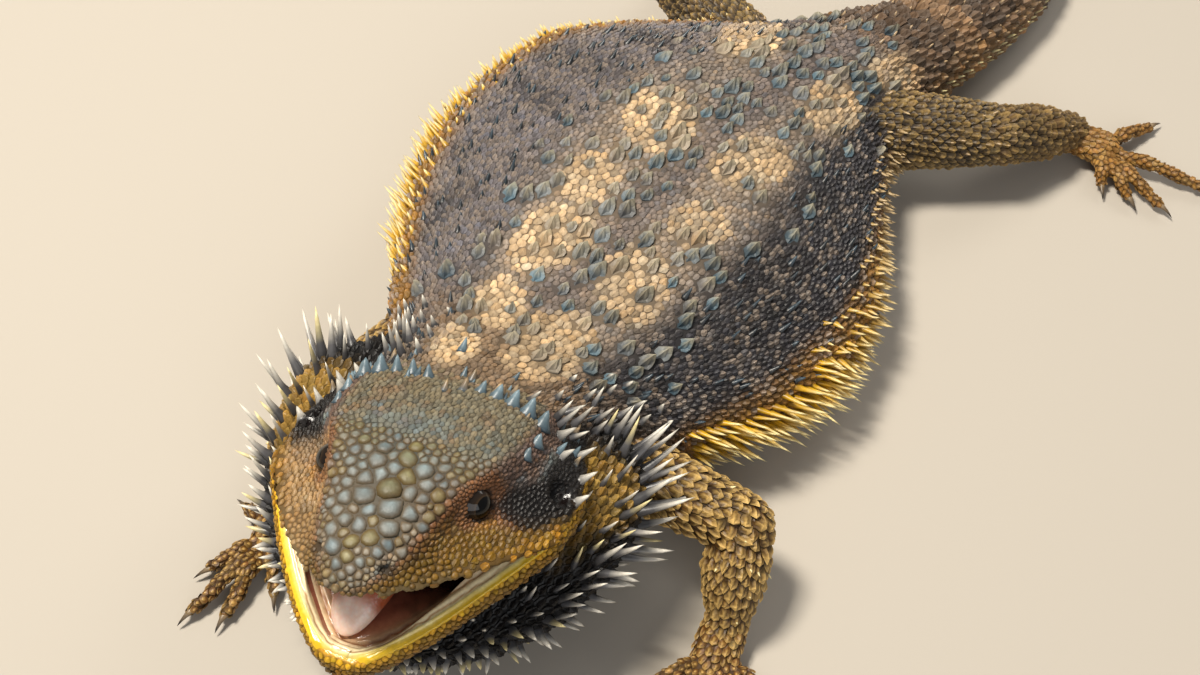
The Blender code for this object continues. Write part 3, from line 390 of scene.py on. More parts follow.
# The beard: the throat's loose skin, blown out into a round pouch below and behind the jaw. It is part of
# the one hide.
BEARD_SIDES = 56
BEARD_HALF = ((-20, 27), (-14, 36), (-8, 41.5), (0, 43), (10, 41.5), (22, 37), (34, 28.5), (44, 17),
              (51, 6))
BEARD_TOP = ((-20, 44), (-8, 44), (4, 42), (12, 38.5), (20, 38.5), (30, 36.5), (40, 34.5), (44, 34), (51, 32))
BEARD_EDGE = ((-20, 33), (-8, 31), (10, 27), (34, 25), (44, 27), (51, 31))
BEARD_LOW = ((-20, 6), (-8, 1.5), (0, 0.4), (14, 0.4), (24, 3), (34, 8), (44, 16), (51, 27))
LEVEL_FORWARD = np.array([math.sin(math.radians(HEAD_YAW)), -math.cos(math.radians(HEAD_YAW)), 0.0])
LEVEL_LEFT = np.array([math.cos(math.radians(HEAD_YAW)), math.sin(math.radians(HEAD_YAW)), 0.0])


def beard_point(f, angle, out=0.0):
    half, top, edge, low = (smooth(keys, f) for keys in (BEARD_HALF, BEARD_TOP, BEARD_EDGE, BEARD_LOW))
    c, s = power_arc(angle, 2.2 if math.sin(angle) > 0 else 1.8)
    z = edge + s * ((top - edge) if s > 0 else (edge - low))
    base = np.array([HEAD_AT[0], HEAD_AT[1], 0.0])
    raised = np.array([0, 0, z + s * out])
    return above_floor(base + LEVEL_FORWARD * f + LEVEL_LEFT * c * (half + out) + raised, 0.6)


beard_rings = [[beard_point(f, 2 * math.pi * k / BEARD_SIDES, -SCALE_DEPTH) for k in range(BEARD_SIDES)]
               for f in np.linspace(-20, 50.6, 40)]
add_form("beard", beard_rings, (0.65, 0.41, 0.33, 0.28), -LEVEL_FORWARD)

# The limbs: four bent legs whose rounded lengths run into one another, with flat hands and feet and five
# toes each. A limb has its joints from the body outward, half widths, and toes by heading and length.
LIMB_SIDES, TOE_SIDES = 28, 16
LIMBS = {
    "left_arm": dict(joints=((33, -57, 24), (66, -51, 21), (73, -65, 7), (75.5, -73, 4)),
                     widths=((8.5, 8, 7), (7, 7.5, 5), 7.0),
                     toes=((-118, 13), (-88, 19), (-62, 22), (-38, 21), (-5, 14)), toe_radii=(2.1, 1.5)),
    "right_arm": dict(joints=((-25, -58, 22), (-35, -86, 13), (-25.5, -104, 6.5), (-23.5, -111, 4)),
                      widths=((8.5, 8, 7), (7, 7.5, 5), 7.0),
                      toes=((-48, 11), (-78, 18.5), (-95, 22), (-114, 13), (172, 8)), toe_radii=(2.1, 1.5)),
    "left_leg": dict(joints=((22, 73, 17), (52, 93, 17), (64, 116, 7), (72.5, 118, 4.5)),
                     widths=((11, 10, 8), (8, 7.5, 5), 7.5),
                     toes=((-56, 8.5), (-33, 14), (-17, 20.5), (12, 28), (68, 16.5)), toe_radii=(2.2, 1.4)),
    "right_leg": dict(joints=((-16, 76, 17), (-50, 88, 17), (-62, 113, 7), (-71, 117, 4.5)),
                      widths=((11, 10, 8), (8, 7.5, 5), 7.5),
                      toes=((-118, 8.5), (-141, 14), (-159, 20.5), (172, 28), (110, 16.5)),
                      toe_radii=(2.2, 1.4)),
}


def round_ring(centre, side, over, radius, sides, flat=1.0):
    """A ring of points about a centre, kept clear of the floor."""
    turns = [2 * math.pi * k / sides for k in range(sides)]
    spokes = [(side * math.cos(a) + over * flat * math.sin(a)) * radius for a in turns]
    return [above_floor(centre + spoke, FLOOR_CLEAR) for spoke in spokes]


def limb_length(label, ends, radii, tile, flat=1.0, stations=26):
    """One length of a limb between two joints, rounded over at both ends."""
    start, stop = (np.asarray(p, float) for p in ends)
    along = unit(stop - start)
    side = unit(np.cross(along, (0, 0, 1)))
    over = np.cross(side, along)
    length = np.linalg.norm(stop - start)
    keys = ((0, radii[0]), (0.5, radii[1]), (1, radii[2]))
    rings = []
    for k in range(stations):
        t = 0.5 - 0.5 * math.cos(math.pi * (k + 0.35) / (stations - 0.3))
        reach = (t - 0.5) * (length + radii[0] + radii[2]) + 0.5 * (length + radii[2] - radii[0])
        radius = smooth(keys, min(1, max(0, reach / length)))
        if reach < 0:
            radius *= math.sqrt(max(0.01, 1 - (reach / radii[0]) ** 2))
        if reach > length:
            radius *= math.sqrt(max(0.01, 1 - ((reach - length) / radii[2]) ** 2))
        rings.append(round_ring(start + along * reach, side, over, radius, LIMB_SIDES, flat))
    add_form(label, rings, tile, along)


def limb_toes(limb):
    """For each toe: its control points and its heading."""
    palm = np.asarray(limb["joints"][3], float)
    out = []
    for heading, length in limb["toes"]:
        a = math.radians(heading)
        ahead = np.array([math.cos(a), math.sin(a), 0])
        root = palm * (1, 1, 0) + ahead * limb["widths"][2] * 0.55 + np.array([0, 0, 3.2])
        places = [root]
        for reach, height in ((0.38, 4.4), (0.72, 2.7), (1.0, 1.9)):
            places.append((root + ahead * length * reach) * (1, 1, 0) + (0, 0, height))
        out.append((places, ahead))
    return out


TOE_STATIONS = 26
tile_row = 0.71
for limb_name, limb in LIMBS.items():
    joint_a, joint_b, joint_c, joint_d = (np.asarray(p, float) for p in limb["joints"])
    kind = "arm" if "arm" in limb_name else "leg"
    upper_radii = [r - SCALE_DEPTH for r in limb["widths"][0]]
    lower_radii = [r - SCALE_DEPTH for r in limb["widths"][1]]
    limb_length(f"{kind}_upper_{limb_name}", (joint_a, joint_b), upper_radii, (0.01, tile_row, 0.24, 0.06))
    limb_length(f"{kind}_lower_{limb_name}", (joint_b, joint_c), lower_radii, (0.27, tile_row, 0.24, 0.06))
    palm_radii = (4.8, 5.2, limb["widths"][2] * 0.8 - 0.3)
    palm_ends = (joint_c + (0, 0, -1.5), joint_d)
    limb_length(f"{kind}_palm_{limb_name}", palm_ends, palm_radii, (0.53, tile_row, 0.14, 0.06), 0.62)
    for k, (places, ahead) in enumerate(limb_toes(limb)):
        path = curve_through(places, TOE_STATIONS)
        rings = []
        for j, centre in enumerate(path):
            onward = path[min(j + 1, TOE_STATIONS - 1)] - path[max(j - 1, 0)]
            side = unit(np.cross(onward, (0, 0, 1)))
            over = unit(np.cross(side, onward))
            t = j / (TOE_STATIONS - 1)
            radius = limb["toe_radii"][0] + (limb["toe_radii"][1] - limb["toe_radii"][0]) * t
            radius *= 1 + 0.1 * math.cos(2 * math.pi * (t * 3.2 + 0.1)) - 0.12
            if t > 0.9:
                radius *= math.sqrt(max(0.15, 1 - ((t - 0.9) / 0.12) ** 2))
            rings.append(round_ring(centre, side, over, radius, TOE_SIDES))
        add_form(f"{kind}_toe_{limb_name}_{k}", rings, (0.69 + 0.055 * k, tile_row, 0.05, 0.06), ahead)
    tile_row += 0.07

# The skin: all the forms above grown together into one closed hide, softened where they meet, with a rim of
# loose skin about each eye and pits for the nostrils and ears. It is a museum cast in pigmented resin.
VOXEL = 0.75
SKIN_TRIANGLES = 190000
LID_RADIUS, LID_THICK = 4.25, 1.15


def eye_look(side):
    """The way an eye looks: outward, a little forward and a little up."""
    return unit(FORWARD * 0.28 + LEFT * side * 0.93 + UP * 0.24)


def lid_form(side):
    """The ring of loose skin about an eye, drawn out a little along the head."""
    centre = head_point(EYE_AT[0], side * EYE_AT[1], EYE_AT[2])
    look = eye_look(side)
    along = unit((FORWARD - UP * 0.35) - look * np.dot(FORWARD - UP * 0.35, look))
    other = np.cross(look, along)
    turn = Matrix((Vector(along), Vector(other), Vector(look))).transposed().to_4x4()
    bpy.ops.mesh.primitive_torus_add(major_radius=LID_RADIUS * MM, minor_radius=LID_THICK * MM,
                                     major_segments=40, minor_segments=14)
    lid = bpy.context.object
    lid.data.transform(Matrix.Diagonal((1.06, 0.78, 0.9, 1.0)))
    lid.data.transform(turn)
    lid.data.transform(Matrix.Translation(Vector((centre + look * 2.2) * MM)))
    return lid


skin_parts = [source[0] for source in skin_sources] + [lid_form(1), lid_form(-1)]
bpy.ops.object.select_all(action="DESELECT")
for part in skin_parts:
    part.select_set(True)
bpy.context.view_layer.objects.active = skin_parts[0]
bpy.ops.object.join()
skin = bpy.context.object
skin.name = "hide"
skin.data.name = "hide"
remesh = skin.modifiers.new("grow together", "REMESH")
remesh.mode = "VOXEL"
remesh.voxel_size = VOXEL * MM
remesh.adaptivity = 0.0
bpy.ops.object.modifier_apply(modifier=remesh.name)
soften = skin.modifiers.new("soften", "SMOOTH")
soften.factor = 0.5
soften.iterations = 5
bpy.ops.object.modifier_apply(modifier=soften.name)


def vertex_values(mesh, name):
    """A value of three numbers for every vertex, as rows."""
    values = np.empty(len(mesh.vertices) * 3)
    mesh.vertices.foreach_get(name, values)
    return values.reshape(-1, 3)


def sink_pit(centre, outward, radius):
    """Presses a round pit into the hide, a little wider and deeper than the radius, with a soft edge."""
    points = vertex_values(skin.data, "co") / MM
    distance = np.linalg.norm(points - centre, axis=1)
    depth = np.clip(1 - (distance / (radius * 1.25)) ** 2, 0, 1)
    points -= unit(outward) * (depth * radius * 1.1)[:, None]
    skin.data.vertices.foreach_set("co", (points * MM).ravel())


for side in (1, -1):
    sink_pit(head_point(NOSTRIL_AT[0], side * NOSTRIL_AT[1], NOSTRIL_AT[2]), eye_look(side), NOSTRIL_RADIUS)
    sink_pit(head_point(EAR_AT[0], side * EAR_AT[1], EAR_AT[2]), LEFT * side * 0.62 + UP * 0.78, EAR_RADIUS)
    skin.data.update()

thin = skin.modifiers.new("thin out", "DECIMATE")
thin.ratio = min(1.0, SKIN_TRIANGLES / (2 * len(skin.data.polygons)))
bpy.ops.object.modifier_apply(modifier=thin.name)
skin.data.shade_smooth()
print("hide", len(skin.data.polygons), "faces")

# Where each place on the hide belongs: the form it came from, the way its scales lie, and its unwrap.
skin.data.calc_loop_triangles()
skin_points = vertex_values(skin.data, "co") / MM
skin_triangles = np.empty(len(skin.data.loop_triangles) * 3, int)
skin.data.loop_triangles.foreach_get("vertices", skin_triangles)
skin_triangles = skin_triangles.reshape(-1, 3)
skin_normals = vertex_values(skin.data, "normal")


def tree_of(points):
    """A tree that finds the nearest of the points."""
    tree = KDTree(len(points))
    for k, point in enumerate(points):
        tree.insert(point, k)
    tree.balance()
    return tree


source_points = np.concatenate([source[2] for source in skin_sources])
source_flow = np.concatenate([source[3] for source in skin_sources])
source_unwrap = np.concatenate([source[4] for source in skin_sources])
labels = [source[1] for source in skin_sources]
source_label = np.concatenate([np.full(len(source[2]), k) for k, source in enumerate(skin_sources)])
source_tree = tree_of(source_points)
nearest_source = np.array([source_tree.find(point)[1] for point in skin_points])
label_of = source_label[nearest_source]
flow_of = source_flow[nearest_source]
unwrap_of = source_unwrap[nearest_source]
kinds = np.array([name.rsplit("_left", 1)[0].rsplit("_right", 1)[0] for name in labels])
kind_of = kinds[label_of]


def head_frame(points):
    """Forward, outward to the left and upward in the skull's frame."""
    away = points - np.array(HEAD_AT)
    return away @ FORWARD, away @ LEFT, away @ UP


def keyed(keys, x):
    """The values at many x on straight lines through the pairs in keys."""
    return np.interp(x, [k[0] for k in keys], [k[1] for k in keys])


def lips_out(f):
    """How far out the upper lip runs at many places forward."""
    return np.array([lip_out(v) for v in np.clip(f, -9, SNOUT)])


def rims_up(f):
    """How high the lower jaw's rim is at many places forward."""
    return np.array([jaw_rim(v) for v in np.clip(f, -7, CHIN)])


def behind_rim(f, out):
    """How far in from the jaw's rim a place lies, from the sides or from the chin."""
    rims = np.array([jaw_out(v) for v in np.clip(f, -7, CHIN)])
    return np.minimum(rims - np.abs(out - np.vectorize(jaw_shift)(f)), CHIN - f)


def in_mouth(points, normals, kind):
    """True on the roof of the mouth, on the gums and on the mouth's floor."""
    f, out, up = head_frame(points)
    n_up = normals @ UP
    behind = behind_rim(f, out)
    roof = (kind == "head") & (n_up < -0.15) & (np.abs(out) < lips_out(f) - 1.2) & (f > 3)
    gums = (kind == "jaw") & (n_up > 0.1) & (behind > 1.5) & (f > 3)
    above = up > rims_up(f) - FLOOR_DEPTH - 1.3
    within = (behind > 2.4) & (f > -4) & above & (up < keyed(PALATE_UP, f) + 1.2)
    inward = (normals @ LEFT) * np.sign(out) < 0
    return roof | gums | (within & ((kind != "head") | inward))


skin_mouth = in_mouth(skin_points, skin_normals, kind_of)
skin_tree = BVHTree.FromPolygons(skin_points.tolist(), skin_triangles.tolist())

# The markings: one function gives the colour at any place on the animal, for the hide and for each scale. It
# also paints shade: the mouth's depth near black, the roof of the mouth darker, the nostril pits dark and the
# left row of blotches darker.
# The back is grey-brown with two rows of sandy blotches, the flanks are charcoal and the beard is black. A
# blotch has its middle, its half length and half width, and its turn in degrees.
BLOTCHES = ((-15, 69, 13, 8.5, 108), (17.3, 60.6, 10.8, 7.4, 98), (-13, 25.1, 12.8, 9, 129),
            (13.2, 27.6, 10.9, 9, 70), (-15.4, -1.8, 8.8, 7.5, 132), (15, 2.5, 8, 7.2, 75),
            (-9.9, -22.5, 12.3, 9.4, 89), (13.5, -22.6, 11.9, 8.8, 120), (-6.7, -47.2, 9.1, 6.4, 129),
            (11.4, -50.7, 14.7, 8.9, 96), (-2.8, -66, 9, 5.2, 134), (21.5, 88, 10, 5.5, 77))
MARKING_COLOURS = dict(
    back="#7a6d61", mid="#685d57", blotch="#bda27e", flank="#252327", far_flank="#746d6e", edge="#80591c",
    belly="#a3957c", neck="#75604a", tail="#544334", tail_band="#86694c", head="#6c6450", snout="#857762",
    brow="#71492a", temple="#5a473d", cheek="#65490a", far_cheek="#a4845c", lip="#8c6412", lid="#94691f",
    stripe="#0c0706", plate="#5d6b6c", rust="#6a4526", olive="#644820", pearl="#6a8088", sage="#7c784a",
    horn_edge="#5c4522", jaw="#5a3f19", rim="#e0ac1e", rim_scale="#8a6518", gum="#e0cb94", palate="#a3604a",
    mouth_depth_shade="#120806", beard="#0c0a09", lobe="#86682e", arm="#472e0c", arm_edge="#f2c878", hand="#5e3b0f",
    thigh="#382c1f", shank="#4a3720", foot="#7f5722", blue="#4f6c7a", keel="#c9bd9c", speck="#85776a")
COLOURS = {key: np.array(linear(value)) for key, value in MARKING_COLOURS.items()}
LIMB_COLOURS = (("arm_upper", "arm"), ("arm_lower", "arm"), ("arm_palm", "hand"), ("arm_toe", "hand"),
                ("leg_upper", "thigh"), ("leg_lower", "shank"), ("leg_palm", "foot"), ("leg_toe", "foot"))
TAIL_BAND = 27
CHEEK_LINE = ((8, 0.97), (14, 0.96), (16, 0.94), (20, 0.82), (24, 0.74), (28, 0.62), (34, 0.42), (46, 0.36))


def noise(points, size, seed):
    """Smooth value noise from 0 to 1 with the given size in millimetres."""
    q = points / size + seed * 7.31
    cell = np.floor(q).astype(int)
    t = q - cell
    t = t * t * (3 - 2 * t)
    total = 0
    for dx in (0, 1):
        for dy in (0, 1):
            for dz in (0, 1):
                i, j, k = cell[:, 0] + dx, cell[:, 1] + dy, cell[:, 2] + dz
                h = (i * 73856093) ^ (j * 19349663) ^ (k * 83492791) ^ (seed * 2654435)
                value = ((h & 0xFFFF) * 40503 % 65536) / 65536
                w = ((t[:, 0] if dx else 1 - t[:, 0]) * (t[:, 1] if dy else 1 - t[:, 1])
                     * (t[:, 2] if dz else 1 - t[:, 2]))
                total = total + value * w
    return total


def mix(a, b, amount):
    """From a to b by an amount from 0 to 1."""
    return a * (1 - amount) + b * amount


def blend(a, b, amount):
    """From colour a to colour b, place by place. Either may be one colour for all the places."""
    return mix(a, b, np.clip(amount, 0, 1)[:, None])


def step(value, low, high):
    """A soft step from 0 at low to 1 at high."""
    t = np.clip((value - low) / (high - low), 0, 1)
    return t * t * (3 - 2 * t)


def trunk_place(x, y):
    """How far off the midline a place lies, also as a share of the half width, and the height of its edge."""
    w = x - keyed(MIDLINE_X, y)
    half = np.where(w > 0, keyed(LEFT_HALF, y), keyed(RIGHT_HALF, y))
    edge = np.where(w > 0, keyed(LEFT_EDGE_Z, y), keyed(RIGHT_EDGE_Z, y))
    return w, np.abs(w) / half, edge


def blotch_share(x, y, blotch):
    """How far from a blotch's middle each place lies, as a share of the way to its edge."""
    bx, by, long, short, degrees = blotch
    turn = math.radians(degrees)
    u = (x - bx) * math.cos(turn) + (y - by) * math.sin(turn)
    v = (y - by) * math.cos(turn) - (x - bx) * math.sin(turn)
    return np.hypot(u / long, v / short)


def gap_from(place, f, far, up):
    """How far each place on the head is from the eye, nostril or ear on its own side."""
    return np.sqrt((f - place[0]) ** 2 + (far - place[1]) ** 2 + (up - place[2]) ** 2)


def markings(points, kind, mouth):
    """The colour at each point, from its place on the body."""
    out = np.tile(COLOURS["back"], (len(points), 1))
    x, y, z = points.T
    w, side, edge = trunk_place(x, y)
    patch = noise(points, 5.0, 3)
    fine = noise(points, 2.0, 5)

    trunk = kind == "trunk"
    col = blend(COLOURS["back"], COLOURS["mid"], 1 - step(np.abs(w), 3, 9))
    flank = blend(COLOURS["flank"], COLOURS["far_flank"], 0.75 * step(-w, 10, 30))
    col = blend(col, flank, step(side + 0.2 * (patch - 0.5), 0.36, 0.56))
    col = blend(col, COLOURS["stripe"], 0.55 * step(noise(points, 9.0, 11), 0.5, 0.8) * step(side, 0.45, 0.6))
    col = blend(col, COLOURS["back"], 0.5 * step(fine, 0.62, 0.85) * step(side, 0.45, 0.6))
    col = blend(col, COLOURS["neck"], step(-y, 44, 58) * (1 - 0.5 * step(side, 0.5, 0.8)))
    # The blotches of the left row get 0.8 of the blotch colour: painted shade for the side that faces away
    # from the light.
    for blotch in BLOTCHES:
        ragged = blotch_share(x, y, blotch) + 0.3 * (patch - 0.5)
        col = blend(col, COLOURS["blotch"] * (0.8 if blotch[0] > 0 else 1.0), 1 - step(ragged, 0.93, 1.05))
    col = blend(col, COLOURS["edge"], step(side, 0.86, 0.97) * step(z - edge, -9, -5))
    col = blend(col, COLOURS["stripe"], step(-y, 62, 70) * step(side + 0.3 * (patch - 0.5), 0.62, 0.8))
    bands = 0.5 + 0.5 * np.cos((y - TRUNK_END) * 2 * np.pi / TAIL_BAND)
    banded = step(bands + 0.4 * (patch - 0.5), 0.62, 0.82) * 0.75
    tail_colour = blend(COLOURS["tail"], COLOURS["tail_band"], banded)
    tail_colour = blend(tail_colour, COLOURS["edge"], step(side, 0.8, 0.95) * 0.5 * (1 - step(y, 120, 180)))
    col = blend(col, tail_colour, step(y, 84, 104))
    col = blend(col, COLOURS["belly"], step(edge - z, 3, 10) * step(0.96 - side, 0, 0.15))
    out[trunk] = col[trunk]

    f, across, up = head_frame(points)
    far = np.abs(across)
    brow = keyed(BROW_OUT, f)
    brow_up = keyed(BROW_UP, f)
    lips = keyed(LIP_UP, f)
    drop = (brow_up - up) / np.maximum(brow_up - lips, 1)
    small = noise(points, 3.2, 17)
    col = blend(COLOURS["head"], COLOURS["snout"], step(f, 20, 32))
    col = blend(col, COLOURS["plate"], 0.75 * step(small, 0.5, 0.8) * step(f, 4, 12))
    col = blend(col, COLOURS["rust"], 0.5 * step(fine, 0.55, 0.85))
    col = blend(col, COLOURS["brow"], step(far - brow, -2.2 + 1.4 * step(f, 30, 40), -0.2) * step(f, 14, 18))
    col = blend(col, COLOURS["olive"], step(drop, 0.1, 0.28) * step(f, 21, 25))
    temple = step(far - brow, -1.6, 0.4) * (1 - step(f, 15.5, 18))
    col = blend(col, COLOURS["temple"], temple)
    plates = step(drop, 0.3, 0.4) * (1 - step(drop, 0.5, 0.6)) * step(f, 0, 4) * (1 - step(f, 12, 16))
    col = blend(col, COLOURS["plate"], 0.85 * plates * step(small, 0.25, 0.5))
    cheek_line = keyed(CHEEK_LINE, f)
    dark = step(drop + 0.1 * (patch - 0.5), 0.42, 0.5) * (1 - step(f, 20.5, 23))
    col = blend(col, COLOURS["stripe"], dark)
    cheek = step(drop, cheek_line - 0.03, cheek_line + 0.04)
    col = blend(col, COLOURS["cheek"], cheek)
    col = blend(col, COLOURS["temple"], 0.15 * step(small, 0.5, 0.8) * cheek * (1 - step(drop, 0.8, 0.9)))
    shaded = 0.6 * step(-across, 6, 12) * step(drop, 0.05, 0.2)
    col = blend(col, COLOURS["far_cheek"], shaded * step(f, 14, 20))
    col = blend(col, COLOURS["lip"], step(drop, 0.84, 0.93) * step(f, 12, 18))
    eye_gap = gap_from(EYE_AT, f, far, up)
    lid = (1 - step(eye_gap, 6.3, 7.2)) * 0.8
    col = blend(col, COLOURS["brow"], lid * step(f, EYE_AT[0] - 2.5, EYE_AT[0]))
    low_lid = (1 - step(eye_gap, 6.6, 7.8)) * step(f, EYE_AT[0] + 0.5, EYE_AT[0] + 2.5)
    col = blend(col, COLOURS["lid"], 0.75 * (low_lid * step(EYE_AT[2] - up, 0.6, 2.0)))
    col = blend(col, COLOURS["stripe"], 1 - step(eye_gap, 4.85, 5.1))
    # The nostril pits are painted near black: painted shade inside the openings.
    nose_gap = gap_from(NOSTRIL_AT, f, far, up)
    col = blend(col, COLOURS["stripe"] * 0.3, 1 - step(nose_gap, 1.1, 1.7))
    head = kind == "head"
    out[head] = col[head]

    jaw = kind == "jaw"
    rim_drop = rims_up(f) - up
    col = blend(COLOURS["jaw"], COLOURS["rim_scale"], 1 - step(rim_drop, 2.5, 5.0))
    col = blend(col, COLOURS["rim"], 1 - step(rim_drop, 0.5, 1.5))
    col = blend(col, COLOURS["cheek"], 0.8 * step(fine, 0.5, 0.85) * step(rim_drop, 1.5, 3))
    col = blend(col, COLOURS["stripe"], step(rim_drop + 2 * (patch - 0.5), 5.5, 9))
    out[jaw] = col[jaw]

    # Toward the throat the gums are painted near black: painted shade in the depth of the mouth.
    gums = mouth & jaw
    col = blend(COLOURS["rim"], COLOURS["palate"], step(behind_rim(f, across), 2.0, 3.6))
    col = blend(col, COLOURS["mouth_depth_shade"], 1 - step(f + 3 * (patch - 0.5), 16, 27))
    out[gums] = col[gums]
    # The roof of the mouth takes half of the palate colour and 0.6 of the gum colour, and goes near black
    # toward the throat: painted shade under the upper jaw and in the depth of the mouth.
    roof = mouth & head
    col = blend(COLOURS["palate"] * 0.5, COLOURS["gum"] * 0.6, step(lips_out(f) - far, 6, 3))
    col = blend(col, COLOURS["mouth_depth_shade"], 1 - step(f, 26, 42))
    out[roof] = col[roof]

    beard = kind == "beard"
    col = blend(COLOURS["beard"], COLOURS["stripe"], patch)
    corner = step(far, 27, 30) * step(up, -30, -24) * step(f, -12, -8) * (1 - step(f, 16, 20))
    col = blend(col, COLOURS["lobe"], corner)
    out[beard] = col[beard]

    for name, plain in LIMB_COLOURS:
        here = np.char.startswith(kind, name)
        col = blend(COLOURS[plain], COLOURS["arm_edge"], 0.2 * step(fine, 0.55, 0.9))
        if name.endswith(("upper", "lower")):
            col = blend(col, COLOURS["stripe"], 0.45 * step(patch, 0.55, 0.8))
        out[here] = col[here]
    return out


skin_colour = markings(skin_points, kind_of, skin_mouth)
edges = np.concatenate([skin_triangles[:, [0, 1]], skin_triangles[:, [1, 2]], skin_triangles[:, [2, 0]]])
for _ in range(6):
    total = skin_colour.copy()
    weight = np.ones(len(skin_points))
    np.add.at(total, edges[:, 0], skin_colour[edges[:, 1]])
    np.add.at(total, edges[:, 1], skin_colour[edges[:, 0]])
    np.add.at(weight, edges[:, 0], 1)
    np.add.at(weight, edges[:, 1], 1)
    skin_colour = total / weight[:, None]


def paint(mesh, colours, wet=None):
    """Stores a colour per point, and how wet the point is in the alpha."""
    layer = mesh.color_attributes.new("ColourAndPaintedLight", "FLOAT_COLOR", "POINT")
    values = np.ones((len(colours), 4), np.float32)
    values[:, :3] = np.clip(colours, 0, 1)
    values[:, 3] = 0 if wet is None else wet
    layer.data.foreach_set("color", values.ravel())


# Outside the mouth the hide is painted at GROOVE_SHADE of its colour: painted shade in the gaps between the
# scales, where the hide shows.
GROOVE_SHADE = 0.42
painted_hide_shade = np.where(skin_mouth, 1.0, GROOVE_SHADE)
paint(skin.data, skin_colour * painted_hide_shade[:, None], skin_mouth.astype(float))


def link_inputs(tree, node, **links):
    """Links from (node, output) to the node's inputs, which are given by name."""
    for name, (source, output) in links.items():
        tree.links.new(source.outputs[output], node.inputs[name.replace("_", " ")])


def add_node(tree, kind, settings=(), **links):
    """One node with its settings, and links from (node, output) to its inputs."""
    node = tree.nodes.new(kind)
    for name, value in dict(settings).items():
        if name in node.inputs:
            node.inputs[name].default_value = value
        else:
            setattr(node, name, value)
    link_inputs(tree, node, **links)
    return node


def scaly_material(name, roughness, wrinkle_mm, wrinkle_depth, gloss):
    """The markings under a fine mottle and hair-fine wrinkles: dry parts spread the light, wet ones shine."""
    material, tree, shader = new_material(name)
    place = add_node(tree, "ShaderNodeTexCoord")
    colour_and_painted_light = add_node(tree, "ShaderNodeAttribute", {"attribute_name": "ColourAndPaintedLight"})
    mottles = {"Scale": 1 / (0.9 * MM), "Detail": 3.0}
    mottle = add_node(tree, "ShaderNodeTexNoise", mottles, Vector=(place, "Object"))
    shade = add_node(tree, "ShaderNodeMapRange", {"To Min": 0.72, "To Max": 1.25}, Value=(mottle, "Fac"))
    painted = add_node(tree, "ShaderNodeVectorMath", {"operation": "SCALE"}, Vector=(colour_and_painted_light, "Color"),
                       Scale=(shade, "Result"))
    wrinkles = {"Scale": 1 / (wrinkle_mm * MM), "Detail": 4.0}
    wrinkle = add_node(tree, "ShaderNodeTexNoise", wrinkles, Vector=(place, "Object"))
    bumps = {"Strength": 0.7, "Distance": wrinkle_depth * MM}
    bump = add_node(tree, "ShaderNodeBump", bumps, Height=(wrinkle, "Fac"))
    sheen = {"To Min": roughness, "To Max": 0.12}
    rough = add_node(tree, "ShaderNodeMapRange", sheen, Value=(colour_and_painted_light, "Alpha"))
    link_inputs(tree, shader, Base_Color=(painted, "Vector"), Normal=(bump, "Normal"),
                Roughness=(rough, "Result"))
    shader.inputs["Specular IOR Level"].default_value = gloss
    return material


def hold(piece, slot, *nodes):
    """The piece rides on the one body. The slot is not used."""
    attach(piece, "root")
    if nodes:
        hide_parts(*nodes)


skin.data.materials.clear()
skin.data.materials.append(scaly_material("painted_resin_hide", 0.7, 0.5, 0.12, 0.35))
limb_parts = ("upper_arm", "forearm", "hand", "thigh", "shank", "foot")
limb_nodes = [f"{side}_{part}" for side in ("left", "right") for part in limb_parts]
body_nodes = ("head", "lower_jaw", "neck", "torso", "beard", "tail_1", "tail_2", "tail_3", "tail_4")
hold(skin, "body_scales", *body_nodes, *limb_nodes)

# The scales: horny plates that tile the hide. Each is a low dome or a keel raised on its own patch of skin,
# large on the snout, back, tail and limbs and fine as grains on the flanks, temples and lids.
rng = np.random.default_rng(7)
TAIL_FROM = 96
LIMB_SPACINGS = (("arm_upper", 2.35), ("arm_lower", 2.15), ("arm_palm", 1.7), ("arm_toe", 1.5),
                 ("leg_upper", 2.0), ("leg_lower", 2.2), ("leg_palm", 1.6), ("leg_toe", 1.4))


def scale_spacing(points, kind):
    """How far apart the scales' middles stand, in millimetres."""
    x, y, z = points.T
    _, side, edge = trunk_place(x, y)
    trunk = 1.36 - 0.08 * step(side, 0.4, 0.6) + 0.45 * step(side, 0.85, 0.97)
    for blotch in BLOTCHES:
        trunk = np.where(blotch_share(x, y, blotch) < 1, 1.8, trunk)
    trunk = trunk + 1.3 * step(edge - z, 2, 8)
    tail = np.clip(0.2 * keyed(LEFT_HALF, y), 0.75, 2.7)
    out = np.where(y > TAIL_FROM, tail, trunk)
    f, across, up = head_frame(points)
    far = np.abs(across)
    middle = 1 - step(far / np.maximum(keyed(BROW_OUT, f), 3), 0.45, 0.95)
    top = 1.15 + (0.35 + 0.5 * middle) * step(f, 14, 26) - 0.5 * step(f, 45, 51)
    drop = (keyed(BROW_UP, f) - up) / np.maximum(keyed(BROW_UP, f) - keyed(LIP_UP, f), 1)
    head = np.where(drop > 0.1, 0.98 + 0.5 * step(drop, 0.7, 0.95) + 0.17 * step(f, 18, 24), top)
    eye_gap = gap_from(EYE_AT, f, far, up)
    head = np.where(eye_gap < 7.5, 0.8, head)
    nose_gap = gap_from(NOSTRIL_AT, f, far, up)
    head = np.where(nose_gap < 3, 0.9, head)
    out = np.where(kind == "head", head, out)
    rim_drop = rims_up(f) - up
    out = np.where(kind == "jaw", 1.0 + 0.5 * step(rim_drop, 1.5, 3.5), out)
    out = np.where(kind == "beard", 1.9, out)
    for name, size in LIMB_SPACINGS:
        out = np.where(np.char.startswith(kind, name), size, out)
    return out


